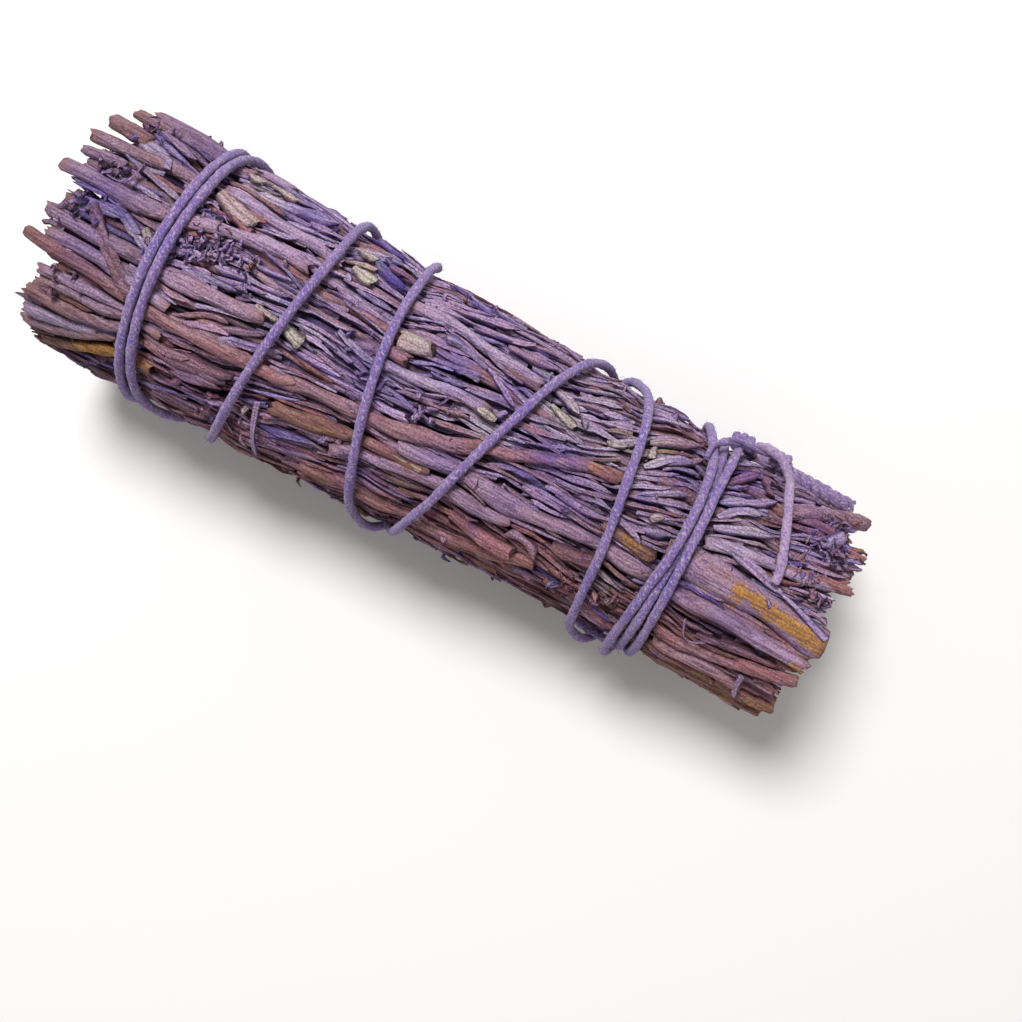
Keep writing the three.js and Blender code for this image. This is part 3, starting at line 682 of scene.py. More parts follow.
def roughened(tree, mesh, where, scale, detail, depth):
    """The mesh with its surface moved in and out by a noise of the given depth."""
    noise = add(tree, "ShaderNodeTexNoise", {"Vector": where, "Scale": scale, "Detail": detail})
    level = add(tree, "ShaderNodeMath", {0: noise, 1: 0.5}, operation="SUBTRACT")
    moved = add(tree, "ShaderNodeMath", {0: level, 1: depth}, operation="MULTIPLY")
    normal = add(tree, "GeometryNodeInputNormal")
    out = add(tree, "ShaderNodeVectorMath", {0: normal, "Scale": moved}, operation="SCALE")
    return add(tree, "GeometryNodeSetPosition", {"Geometry": mesh, "Offset": out})


def sprig_tree():
    """Sets a leaf on each leaf point, and makes each line of edges a ridged stem."""
    tree, given = new_tree(
        "Leafy sprig",
        {
            "Leaf shapes": "Collection",
            "Stem sides": "Int",
            "Wrinkle depth": "Float",
            "Ridge depth": "Float",
            "Splinter length": "Float",
            "Leaf material": "Material",
            "Bark material": "Material",
        },
    )
    kept = {
        name: add(tree, "GeometryNodeInputNamedAttribute", {"Name": name}, data_type=kind)
        for name, kind in {**SPRIG_ATTRIBUTES, "girth": "FLOAT", "bare": "FLOAT"}.items()
    }
    parted = add(
        tree,
        "GeometryNodeSeparateGeometry",
        {"Geometry": given["Geometry"], "Selection": kept["is_leaf"]},
        domain="POINT",
    )
    shapes = add(
        tree,
        "GeometryNodeCollectionInfo",
        {"Collection": given["Leaf shapes"], "Separate Children": True, "Reset Children": True},
    )
    leaves = add(
        tree,
        "GeometryNodeInstanceOnPoints",
        {
            "Points": parted.outputs["Selection"],
            "Instance": shapes,
            "Pick Instance": True,
            "Instance Index": kept["shape"],
            "Rotation": add(tree, "FunctionNodeEulerToRotation", {"Euler": kept["turn"]}),
            "Scale": kept["stretch"],
        },
    )
    place = add(tree, "GeometryNodeInputPosition")
    blades = add(tree, "GeometryNodeRealizeInstances", {"Geometry": leaves})
    # Wrinkles about 0.9 mm apart
    dried = roughened(tree, blades, place, 1.1, 1.0, given["Wrinkle depth"])
    leafy = add(tree, "GeometryNodeSetMaterial", {"Geometry": dried, "Material": given["Leaf material"]})

    lines = add(tree, "GeometryNodeMeshToCurve", {"Mesh": parted.outputs["Inverted"]})
    ring = add(tree, "GeometryNodeCurvePrimitiveCircle", {"Resolution": given["Stem sides"], "Radius": 1.0})
    tube = add(
        tree,
        "GeometryNodeCurveToMesh",
        {"Curve": lines, "Profile Curve": ring, "Scale": kept["girth"], "Fill Caps": True},
    )
    # Ridges about 0.7 mm apart, and splinters of 0.4 mm at the cut ends
    drawn_out = add(tree, "ShaderNodeVectorMath", {0: place, 1: (0.12, 1.5, 1.5)}, operation="MULTIPLY")
    ridged = roughened(tree, tube, drawn_out, 1.0, 2.0, given["Ridge depth"])
    fine = add(tree, "ShaderNodeVectorMath", {0: place, 1: (0.0, 2.6, 2.6)}, operation="MULTIPLY")
    splinter = add(tree, "ShaderNodeTexNoise", {"Vector": fine, "Scale": 1.0, "Detail": 1.0})
    level = add(tree, "ShaderNodeMath", {0: splinter, 1: 0.5}, operation="SUBTRACT")
    worn = add(tree, "ShaderNodeMath", {0: level, 1: kept["bare"]}, operation="MULTIPLY")
    ragged = add(tree, "ShaderNodeMath", {0: worn, 1: given["Splinter length"]}, operation="MULTIPLY")
    along = add(tree, "ShaderNodeCombineXYZ", {0: ragged})
    splintered = add(tree, "GeometryNodeSetPosition", {"Geometry": ridged, "Offset": along})
    bark = add(tree, "GeometryNodeSetMaterial", {"Geometry": splintered, "Material": given["Bark material"]})
    both = add(tree, "GeometryNodeJoinGeometry", {"Geometry": leafy})
    tree.links.new(bark.outputs[0], both.inputs[0])
    add(tree, "NodeGroupOutput", {"Geometry": both})
    return tree


class Sprig:
    """The leaf points and stem lines of one sprig, in the unrolled bundle."""

    def __init__(self):
        self.points, self.edges = [], []
        self.values = {name: [] for name in (*SPRIG_ATTRIBUTES, "tone", "girth", "bare")}

    def put(
        self, point, is_leaf=False, shape=0, turn=(0, 0, 0), stretch=(1, 1, 1), tone=0.0, girth=0, bare=0
    ):
        """A point, with all that the tree and the materials read about it."""
        self.points.append(point)
        given = (is_leaf, shape, turn, stretch, tone, girth, bare)
        for kept, value in zip(self.values.values(), given):
            kept.append(value)

    def leaf(self, point, turn, stretch, shape, tone):
        """A leaf with its root at a point."""
        self.put(point, True, shape, turn, stretch, tone)

    def leaf_between(self, root, tip, width, height, shape, tone):
        """A leaf from one (x, angle) to another, its root a little deeper than its tip."""
        (x0, a0), (x1, a1) = root, tip
        along, over = x1 - x0, (a1 - a0) * ARC
        length = math.hypot(along, over)
        lift = 0 if shape == PEEL else min(0.5, length * 0.05)
        turn = (0, -math.asin(lift / length), math.atan2(over, along))
        across = width * unrolled(shape)
        self.leaf((x0, a0 * ARC, height - lift), turn, (length, across, across), shape, tone)

    def stem(self, path, radius, tone, key):
        """A stem along points of (x, arc, height), with knobs along it and worn, rounded cut ends."""
        path = curve_through(np.array(path, float), np.linspace(0, len(path) - 1, 12 * len(path)))
        run = np.concatenate([[0], np.cumsum(np.linalg.norm(np.diff(path, axis=0), axis=1))])
        total = run[-1]
        ends = np.array([0, 0.1, 0.4, 1.0])
        inner = np.linspace(1.8, total - 1.8, max(int(total / 1.1), 2)) if total > 5 else [total / 2]
        at = np.unique(np.concatenate([ends, inner, total - ends]))
        x, arc, height = (np.interp(at, run, path[:, k]) for k in range(3))
        arc = arc + 0.13 * np.sin(x / 4.1 + key) + 0.06 * np.sin(x / 1.7 + 2.3 * key)
        height = height + 0.08 * np.sin(x / 5.3 + 1.7 * key)
        knob = np.exp(-(((x + 4.1 * key) % 8.3 - 4.1) ** 2) / 0.4)
        from_end = np.minimum(at, total - at)
        girth = radius * (1 + 0.05 * np.sin(x / 2.1 + key)) + 0.12 * knob
        girth *= 0.86 + 0.14 * smoothstep(from_end, 0, 0.3)
        bare = 0.6 - 0.6 * smoothstep(from_end, 0.05, min(1.8, 0.12 * total))
        first = len(self.points)
        for k in range(len(at)):
            self.put((x[k], arc[k], height[k]), tone=tone, girth=girth[k], bare=bare[k])
        self.edges += [(first + k, first + k + 1) for k in range(len(at) - 1)]

    def build(self, name, tree, shapes, sides):
        """The sprig as one mesh, still unrolled."""
        holder = new_object(name, self.points, self.edges)
        for key, kept in self.values.items():
            set_attribute(holder.data, key, SPRIG_ATTRIBUTES.get(key, "FLOAT"), kept)
        values = {
            "Leaf shapes": shapes,
            "Stem sides": sides,
            "Wrinkle depth": WRINKLE_DEPTH,
            "Ridge depth": RIDGE_DEPTH,
            "Splinter length": SPLINTER_LENGTH,
            "Leaf material": bpy.data.materials["dyed_sage_leaf"],
            "Bark material": bpy.data.materials["dyed_sage_bark"],
        }
        made = use_tree(holder, tree, values)
        for unused in (*SPRIG_ATTRIBUTES, "girth"):
            if unused in made.data.attributes:
                made.data.attributes.remove(made.data.attributes[unused])
        made.data.shade_smooth()
        made.data.set_sharp_from_angle(angle=math.radians(80))
        return made


# The layers of leaves from the outside in: height of their tops, how far that varies, share of the leaves
# tried, how much of a leaf may lie on others of its layer, how much wider than others its leaves are
Layer = namedtuple("Layer", "top varies tried overlap wider")
LAYERS = [
    Layer(-0.04, 0.26, 3.4, 0.3, 0.92),
    Layer(-0.42, 0.3, 2.3, 0.36, 1.05),
    Layer(-0.95, 0.4, 1.0, 0.5, 1.7),
]


class Cover:
    """Which places of the unrolled bundle are taken in one layer of leaves, on the hold map's net."""

    def __init__(self):
        self.taken = np.zeros(HOLD.shape, bool)

    def cells(self, x, arc, yaw, length, width, lines):
        """The net's knots under a leaf, found on some lines along it."""
        along, over = np.meshgrid(np.arange(0.1, length, 0.22), np.linspace(-0.4 * width, 0.4 * width, lines))
        at_x = x + along * math.cos(yaw) - over * math.sin(yaw)
        at_arc = arc + along * math.sin(yaw) + over * math.cos(yaw)
        row = np.clip(((at_x + NET_END) * NET_PER_MM).astype(int), 0, len(HOLD) - 1)
        return row, np.floor(at_arc / ARC).astype(int) % 360

    def share(self, *leaf):
        """How much of a leaf would lie on others."""
        return self.taken[self.cells(*leaf, 3)].mean()

    def take(self, *leaf):
        """Marks the place of a leaf as taken."""
        self.taken[self.cells(*leaf, int(leaf[-1] / 0.25) + 2)] = True


def take_line(covers, line, width, top):
    """Keeps the layers that a line of (x, arc) reaches clear of leaves."""
    reached = [c for c, layer in zip(covers, LAYERS) if top - width < layer.top < top + 0.35]
    for (x0, arc0), (x1, arc1) in zip(line, line[1:]):
        yaw, length = math.atan2(arc1 - arc0, x1 - x0), math.hypot(x1 - x0, arc1 - arc0)
        for cover in reached:
            cover.take(x0, arc0, yaw, length, width)


def in_gap(x, angle):
    """Whether a place lies in one of the dark gaps."""
    for x0, x1, a0, a1, half in DARK_GAPS:
        if x0 < x < x1 and abs(turned(angle - a0 - (a1 - a0) * (x - x0) / (x1 - x0))) * ARC < half:
            return True
    return False


def lean_at(x, angle):
    """How far the leaves at a place lean from the bundle's length, in radians."""
    a = math.radians(angle)
    total, weight = 2.5 * math.sin(5 * a + x / 6) + 1.5 * math.sin(11 * a - x / 3.1), 0.35
    for lean_x, lean_angle, reach, lean in LEANS:
        near = math.exp(-((x - lean_x) ** 2 + (turned(angle - lean_angle) * ARC) ** 2) / reach**2)
        total += near * lean
        weight += near
    return math.radians(total / weight)


def leaf_tone(rng, x, angle):
    """The colour of a leaf by where it lies: browner on the -Y side and at the ends, greyer above."""
    angle = float(turned(angle))
    base = 0.45 + 0.17 * smoothstep(-angle, 5, 40)
    base = base + 0.05 * smoothstep(abs(x), 30, 42) + 0.03 * smoothstep(x, -10, 20)
    # One in ten is well dyed, one in a hundred took no dye, and one in eleven may be red or brown
    drawn = rng.random()
    if drawn < 0.1:
        return float(rng.uniform(0.17, 0.32))
    if drawn < 0.11:
        return float(rng.uniform(0.92, 0.98))
    if drawn < 0.2:
        return float(rng.uniform(0.58, 0.78))
    return float(np.clip(rng.normal(base, 0.065), 0.25, 0.78))


def shows_stem(i):
    """Whether an outer sprig lies with its stem outwards, and the other way round, as every third does."""
    return i % 3 == 1


def sprig_ends(i):
    """Where an outer sprig is cut off, as in the part's own drawing."""
    start = WIDE_CUT + WIDE_SCATTER * (scatter(i, 3) - 0.6)
    end = NARROW_CUT + NARROW_SCATTER * (scatter(i, 4) - 0.5)
    start = -HALF_LENGTH + 0.1 if i == LONGEST_AT_WIDE_END else start
    return start, HALF_LENGTH - 0.1 if i == LONGEST_AT_NARROW_END else end


def outer_sprig(i, sizes, covers):
    """The stems of a sprig of the outside, and the broad leaves at its bottom."""
    rng = np.random.default_rng(1000 * sizes.seed + i)
    sprig = Sprig()
    bare = shows_stem(i)
    start, end = sprig_ends(i)
    width = 360 / OUTER_COUNT * ARC

    def centre(x):
        return middle_of(OUTER_COUNT, i, x) * ARC

    radius = OUTER_STEM["bare_radius"] if bare else OUTER_STEM["radius"]
    depth = 1.15 * radius + 0.35 if bare else OUTER_STEM["depth"]
    main = [(x, centre(x), -depth) for x in np.linspace(start, end, 9)]
    sprig.stem(main, radius, 0.62, i)
    take_line(covers, [p[:2] for p in main], 1.6 * radius, radius - depth)

    # The first side stem starts at the wide cut, and the second ends at the narrow one
    for k in range(sizes.side_stems):
        thick, length = rng.uniform(0.2, 0.4), rng.uniform(16, 40)
        x0, height = rng.uniform(start, end - length), -rng.uniform(0.1, 1.3)
        if k == 0:
            x0, thick, height = start + rng.uniform(-0.4, 1.4), rng.uniform(0.35, 0.6), -rng.uniform(0.2, 1.1)
        if k == 1:
            x0, thick, height = end - length, rng.uniform(0.35, 0.6), -rng.uniform(0.2, 1.0)
        shift, lean = rng.uniform(-0.45, 0.45) * width, rng.normal(0, 0.05)
        t = np.linspace(0, 1, 4)
        line = [(x0 + length * s, centre(x0 + length * s) + shift + lean * length * (s - 0.5)) for s in t]
        tall = [height - thick - (1.6 * s * s if k != 1 else 1.6 * (1 - s) ** 2) for s in t]
        tone = float(np.clip(rng.normal(0.62, 0.08), 0.4, 0.82))
        sprig.stem([(*p, h) for p, h in zip(line, tall)], thick, tone, 7 * i + k)
        take_line(covers, line[:3] if k != 1 else line[1:], 1.6 * thick, height)

    for number in range(BED_LEAVES):
        x = start + 3 + (end - start - 6) * (number + rng.random()) / BED_LEAVES
        place = centre(x) + rng.uniform(-0.5, 0.5) * width
        yaw = lean_at(x, place / ARC) * 0.5 + rng.normal(0, 0.12) + (0 if rng.random() < 0.5 else math.pi)
        length = min(12.0, (end - x if math.cos(yaw) > 0 else x - start) + 0.2)
        across = rng.uniform(1.6, 2.2) * unrolled(BROAD)
        turn = (rng.normal(0, 0.3), 0, yaw)
        tone = leaf_tone(rng, x, place / ARC)
        sprig.leaf((x, place, -rng.uniform(1.5, 2.1)), turn, (length, across, across), BROAD, tone)

    for _ in range(LOOSE_CRUMBS):
        x = rng.uniform(start + 3, end - 2)
        crumb(sprig, rng, x, centre(x) + rng.uniform(-0.5, 0.5) * width, -rng.uniform(0.3, 1.2))
    for number in range(OUTER_CUT_LEAVES):
        end_leaf(sprig, rng, number % 2 == 0, (start, end), centre, width, -rng.uniform(1.7, 4.6), 1)
    return sprig


def end_leaf(sprig, rng, at_wide, ends, centre, width, height, squeeze):
    """A leaf that was cut off at one of the ends, and shows there between the stems."""
    x = ends[0] + rng.uniform(0, 3) if at_wide else ends[1] - rng.uniform(0, 3)
    length, across = rng.uniform(7, 12), rng.uniform(1.0, 1.9)
    turn = (rng.uniform(-3, 3), rng.normal(0, 0.06), rng.normal(0, 0.08) + (0 if at_wide else math.pi))
    place = centre(x) + rng.uniform(-0.5, 0.5) * width
    shape = int(rng.choice(CUT_SHAPES))
    sprig.leaf((x, place, height), turn, (length, across * squeeze, across), shape, leaf_tone(rng, x, 0))


def nearest_sprig(angle):
    """The number of the outer sprig at an angle."""
    return int(math.floor(angle / (360 / OUTER_COUNT))) % OUTER_COUNT


def lay_leaves(sprigs, covers, sizes):
    """Lays narrow leaves in layers, each leaf where it lies on few others of its layer, often with
    neighbours that fan out from it."""
    rng = np.random.default_rng(1000 * sizes.seed + OUTER_COUNT)

    def drawn_leaf(wider):
        x, arc = rng.uniform(-48.5, 49.3), rng.uniform(0, 360) * ARC
        forward = -1 if shows_stem(nearest_sprig(arc / ARC)) else 1
        heading = forward if rng.random() < 0.8 else -forward
        yaw = lean_at(x, arc / ARC) + rng.normal(0, 0.06) + (0 if heading > 0 else math.pi)
        length = sizes.leaf_length / MM * rng.uniform(0.5, 1.45)
        return x, arc, yaw, length, sizes.leaf_width / MM * rng.uniform(0.62, 1.35) * wider

    def lay(cover, layer, x, arc, yaw, length, width):
        number = nearest_sprig((arc + length / 2 * math.sin(yaw)) / ARC)
        start, end = sprig_ends(number)
        room = (end - x if math.cos(yaw) > 0 else x - start) - rng.uniform(-0.4, 1.2)
        length = min(length, room)
        middle = x + length / 2 * math.cos(yaw), (arc + length / 2 * math.sin(yaw)) / ARC
        if length < SHORTEST_LEAF or (layer is not LAYERS[-1] and in_gap(*middle)):
            return False
        # The leaves lie a little thinner near the wide end
        left_out = rng.random() < 0.15 * smoothstep(-x, 38, 44)
        if left_out or cover.share(x, arc, yaw, length, width) > layer.overlap:
            return False
        cover.take(x, arc, yaw, length, width)
        rise = rng.uniform(0.15, 0.6)
        shape = int(rng.choice(len(CHANCES), p=CHANCES))
        turn = (rng.normal(0, 0.3), -math.asin(min(rise / length, 0.3)), yaw)
        across = width * unrolled(shape)
        top = layer.top - layer.varies * rng.random() - rise * 0.7
        tone = leaf_tone(rng, x, arc / ARC)
        sprigs[number].leaf((x, arc, top), turn, (length, across, across), shape, tone)
        return True

    for cover, layer in zip(covers, LAYERS):
        for _ in range(int(sizes.leaves * layer.tried)):
            tried = [drawn_leaf(layer.wider) for _ in range(TRIED_PLACES)]
            x, arc, yaw, length, width = min(tried, key=lambda leaf: cover.share(*leaf))
            if not lay(cover, layer, x, arc, yaw, length, width):
                continue
            for side in (-1, 1):
                if rng.random() < NEIGHBOUR_CHANCE:
                    beside, along = side * width * rng.uniform(0.85, 1.1), rng.normal(0, 1.0)
                    root_x = x + along * math.cos(yaw) - beside * math.sin(yaw)
                    root_arc = arc + along * math.sin(yaw) + beside * math.cos(yaw)
                    spread = side * rng.uniform(0.0, 0.13)
                    size = rng.uniform(0.65, 1.1, 2)
                    lay(cover, layer, root_x, root_arc, yaw + spread, length * size[0], width * size[1])


def crumb(sprig, rng, x, place, height):
    """A crumbled bit of leaf lying anyhow."""
    size = rng.uniform(0.6, 1.3)
    turn = tuple(rng.uniform(-math.pi, math.pi, 3))
    tone = leaf_tone(rng, x, place / ARC)
    shape = int(rng.choice(CRUMB_SHAPES))
    sprig.leaf((x, place, height), turn, (size * 1.5, size, size), shape, tone)


def lay_outside(sprigs, covers):
    """Adds the stems, leaves and crumbs that lie at the outside, each to the sprig that it lies in."""
    for key, (path, diameter, top, tone) in enumerate(TOP_STEMS):
        line = [(x, a * ARC, top - diameter / 2) for x, a in path]
        number = nearest_sprig((path[0][1] + path[-1][1]) / 2)
        sprigs[number].stem(line, diameter / 2, tone, 40 + key)
        take_line(covers, [p[:2] for p in line], 0.9 * diameter, top)
    for root, tip, width, height, *rest in TOP_LEAVES:
        number = nearest_sprig((root[1] + tip[1]) / 2)
        sprigs[number].leaf_between(root, tip, width, height, *rest)
        take_line(covers[:1], [(root[0], root[1] * ARC), (tip[0], tip[1] * ARC)], 0.9 * width, height)
    rng = np.random.default_rng(CRUMB_SEED)
    for x, angle, reach, count in CRUMBS:
        for _ in range(count):
            dx, da = rng.normal(0, reach / 2, 2)
            place = angle * ARC + da * 0.7
            number = nearest_sprig(place / ARC)
            start, end = sprig_ends(number)
            crumb(sprigs[number], rng, min(max(x + dx, start + 1.6), end - 1), place, rng.uniform(-0.6, 0.15))
        covers[0].take(x - reach / 2, angle * ARC, 0, reach, 0.5 * reach)


def buried_sprig(ring, i, sizes):
    """A finer sprig of the inside: its stem, with leaves where the cut ends show them."""
    rng = np.random.default_rng(5000 * sizes.seed + 100 * ring["count"] + i)
    sprig = Sprig()
    count = ring["count"]
    start = WIDE_CUT + WIDE_SCATTER * (scatter(i, count) - 0.5)
    end = NARROW_CUT + NARROW_SCATTER * (scatter(i, count + 1) - 0.6)

    def centre(x):
        return middle_of(count, i, x) * ARC

    along = np.linspace(start, end, 8)
    heights = ring["inside"] * leaf_radius(along) + ring["radius"] - leaf_radius(along)
    path = [(x, centre(x), height) for x, height in zip(along, heights)]
    sprig.stem(path, ring["radius"], float(rng.uniform(0.5, 0.76)), 100 + i)
    for number in range(BURIED_CUT_LEAVES):
        share = rng.uniform(ring["inside"], ring["outside"])
        squeeze = UNROLLED_RADIUS / max(share * WIDE_RADIUS, 2.5)
        height = (share - 1) * WIDE_RADIUS
        end_leaf(sprig, rng, number % 2 == 0, (start, end), centre, 360 / count * ARC, height, squeeze)
    return sprig


def finish_piece(made, node):
    """Puts a finished piece in its node's place."""
    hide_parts(node)
    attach(made, "root")


def new_material(name, roughness):
    """A material with only a principled shader, and its object coordinates."""
    made = bpy.data.materials.new(name)
    made.use_nodes = True
    tree = made.node_tree
    tree.nodes.clear()
    shader = add(tree, "ShaderNodeBsdfPrincipled", {"Roughness": roughness, "Specular IOR Level": 0.25})
    add(tree, "ShaderNodeOutputMaterial", {"Surface": shader})
    place = add(tree, "ShaderNodeTexCoord").outputs["Object"]
    return tree, shader, place


def dyed_colour(tree, tone, colours):
    """Colour by tone: soaked indigo, grey lavender, mauve, bark, bare wood, and leaves with no dye."""
    made = add(tree, "ShaderNodeValToRGB", {"Fac": tone})
    stops = {
        0.0: colours.indigo,
        0.15: colours.violet,
        0.33: colours.lavender,
        0.48: colours.mauve,
        0.61: colours.umber,
        0.7: colours.red,
        0.77: colours.brown,
        0.86: colours.ochre,
        0.9: colours.tan,
        0.94: colours.tan,
        1.0: colours.sage,
    }
    ramp = made.color_ramp.elements
    while len(ramp) < len(stops):
        ramp.new(0.5)
    for stop, (place, colour) in zip(ramp, stops.items()):
        stop.position = place
        stop.color = colour
    return made


def kept_marks(tree, *names):
    """What a sprig's mesh says about each of its places, by name."""
    return {name: add(tree, "ShaderNodeAttribute", attribute_name=name).outputs["Fac"] for name in names}


def pooled_dye_and_shade(tree, kept, colours):
    """The colour of dye dried in creases and between the plants, which is also painted shade there: violet,
    but brown on what is brown itself.
    """
    brown = add(tree, "ShaderNodeMapRange", {"Value": kept["tone"], "From Min": 0.5, "From Max": 0.6})
    dried = add(tree, "ShaderNodeMix", {0: brown, 6: colours.pool, 7: colours.brown_dregs_and_shade}, data_type="RGBA")
    return dried.outputs[2]


def downy_and_end_shade(tree, kept, colour, down, dullest):
    """A colour lightened and darkened by its down, and darker at the wide end with painted shade."""
    dull = add(tree, "ShaderNodeMapRange", {"Value": kept["handled"], "To Min": 1.0, "To Max": dullest})
    down = add(tree, "ShaderNodeMath", {0: down, 1: dull}, operation="MULTIPLY")
    return add(tree, "ShaderNodeVectorMath", {0: colour, "Scale": down}, operation="SCALE")


def finish_plant(tree, shader, kept, colours, colour, pool, relief, side=0.0):
    """The last steps of leaf and bark: dye dried at the sides and in the depths with painted shade there,
    darker painted shade deeper in, and relief.
    """
    # Painted shade: the dried dye's colour at the leaf sides and from a little way in, the shade colour
    # deeper in
    sunk = {"Value": kept["buried"], "From Min": 0.16, "From Max": 0.6, "To Max": 0.8}
    deep = {"Value": kept["buried"], "From Min": 0.4, "From Max": 0.8, "To Max": 0.9}
    pooled = add(
        tree, "ShaderNodeMath", {0: side, 1: add(tree, "ShaderNodeMapRange", sunk)}, operation="MAXIMUM"
    )
    colour = add(tree, "ShaderNodeMix", {0: pooled, 6: colour, 7: pool}, data_type="RGBA")
    deep = add(tree, "ShaderNodeMapRange", deep)
    colour = add(tree, "ShaderNodeMix", {0: deep, 6: colour, 7: colours.shade}, data_type="RGBA")
    tree.links.new(colour.outputs[2], shader.inputs["Base Color"])
    bump = add(tree, "ShaderNodeBump", {"Strength": 1.0, "Distance": 0.0004, "Height": relief})
    tree.links.new(bump.outputs[0], shader.inputs["Normal"])


def dyed_leaf(colours):
    """Dried sage leaf, dyed: matt, with fine down, wrinkled along its length, with fine pale grain where the
    down is worn, and dye dried in its creases with painted shade there, along its rolled edges and in the
    depths."""
    tree, shader, place = new_material("dyed_sage_leaf", 0.82)
    kept = kept_marks(tree, "tone", "across", "buried", "soaked", "undyed", "handled")
    longer = add(tree, "ShaderNodeMapping", {"Vector": place, "Scale": (0.3, 1, 1)})
    longest = add(tree, "ShaderNodeMapping", {"Vector": place, "Scale": (0.06, 1, 1)})
    # Blotches of 1.1 mm, creases 0.31 mm apart, and down in grains of 0.24 mm, coarser than real to show
    blotch = add(tree, "ShaderNodeTexNoise", {"Vector": longer, "Scale": 900.0, "Detail": 3.0})
    crease = add(tree, "ShaderNodeTexNoise", {"Vector": longest, "Scale": 3200.0, "Detail": 3.0})
    down = {"Vector": place, "Scale": 4200.0, "Detail": 2.0, "Roughness": 0.7}
    grain = add(tree, "ShaderNodeTexNoise", down)
    patch = add(tree, "ShaderNodeTexNoise", {"Vector": place, "Scale": 240.0, "Detail": 2.0})
    # Each leaf is a little lighter or darker than its neighbours
    own = add(tree, "ShaderNodeTexNoise", {"W": kept["tone"], "Scale": 400.0}, noise_dimensions="1D")
    spread = add(tree, "ShaderNodeMapRange", {"Value": blotch, "To Min": -0.1, "To Max": 0.1})
    tone = add(tree, "ShaderNodeMath", {0: kept["tone"], 1: spread}, operation="ADD", use_clamp=True)
    colour = dyed_colour(tree, tone, colours)
    damp = {"Value": patch, "From Min": 0.54, "From Max": 0.72, "To Max": 0.4}
    damp = add(tree, "ShaderNodeMapRange", damp)
    soaked = add(tree, "ShaderNodeMath", {0: kept["soaked"], 1: damp}, operation="MAXIMUM")
    takes = add(tree, "ShaderNodeMapRange", {"Value": kept["tone"], "From Min": 0.86, "From Max": 0.8})
    soaked = add(tree, "ShaderNodeMath", {0: soaked, 1: takes}, operation="MULTIPLY")
    colour = add(tree, "ShaderNodeMix", {0: soaked, 6: colour, 7: colours.violet}, data_type="RGBA")
    colour = add(tree, "ShaderNodeMix", {0: kept["undyed"], 6: colour, 7: colours.sage}, data_type="RGBA")
    pool = pooled_dye_and_shade(tree, kept, colours)
    edge = add(tree, "ShaderNodeMath", {0: kept["across"]}, operation="ABSOLUTE")
    # Painted shade, with dried dye, in the groove over the midrib and in the creases
    rib = add(tree, "ShaderNodeMapRange", {"Value": edge, "From Min": 0.2, "From Max": 0.03, "To Max": 0.5})
    dark = {"Value": crease, "From Min": 0.5, "From Max": 0.36, "To Max": 0.4}
    dark = add(tree, "ShaderNodeMapRange", dark)
    dark = add(tree, "ShaderNodeMath", {0: dark, 1: rib}, operation="MAXIMUM")
    colour = add(tree, "ShaderNodeMix", {0: dark, 6: colour, 7: pool}, data_type="RGBA")
    down = {"Value": grain, "From Min": 0.32, "From Max": 0.68, "To Min": 0.5, "To Max": 1.5}
    shone = {"Value": own, "From Min": 0.3, "From Max": 0.7, "To Min": 0.78, "To Max": 1.28}
    down, shone = add(tree, "ShaderNodeMapRange", down), add(tree, "ShaderNodeMapRange", shone)
    down = add(tree, "ShaderNodeMath", {0: down, 1: shone}, operation="MULTIPLY")
    colour = downy_and_end_shade(tree, kept, colour, down, 0.74)
    # Painted shade along the rolled edges, where the blade turns under, outlines each leaf
    side = {"Value": edge, "From Min": 0.36, "From Max": 0.85, "To Max": 0.92}
    side = add(tree, "ShaderNodeMapRange", side)
    relief = add(tree, "ShaderNodeMath", {0: grain, 1: 0.6, 2: crease}, operation="MULTIPLY_ADD")
    finish_plant(tree, shader, kept, colours, colour, pool, relief, side)


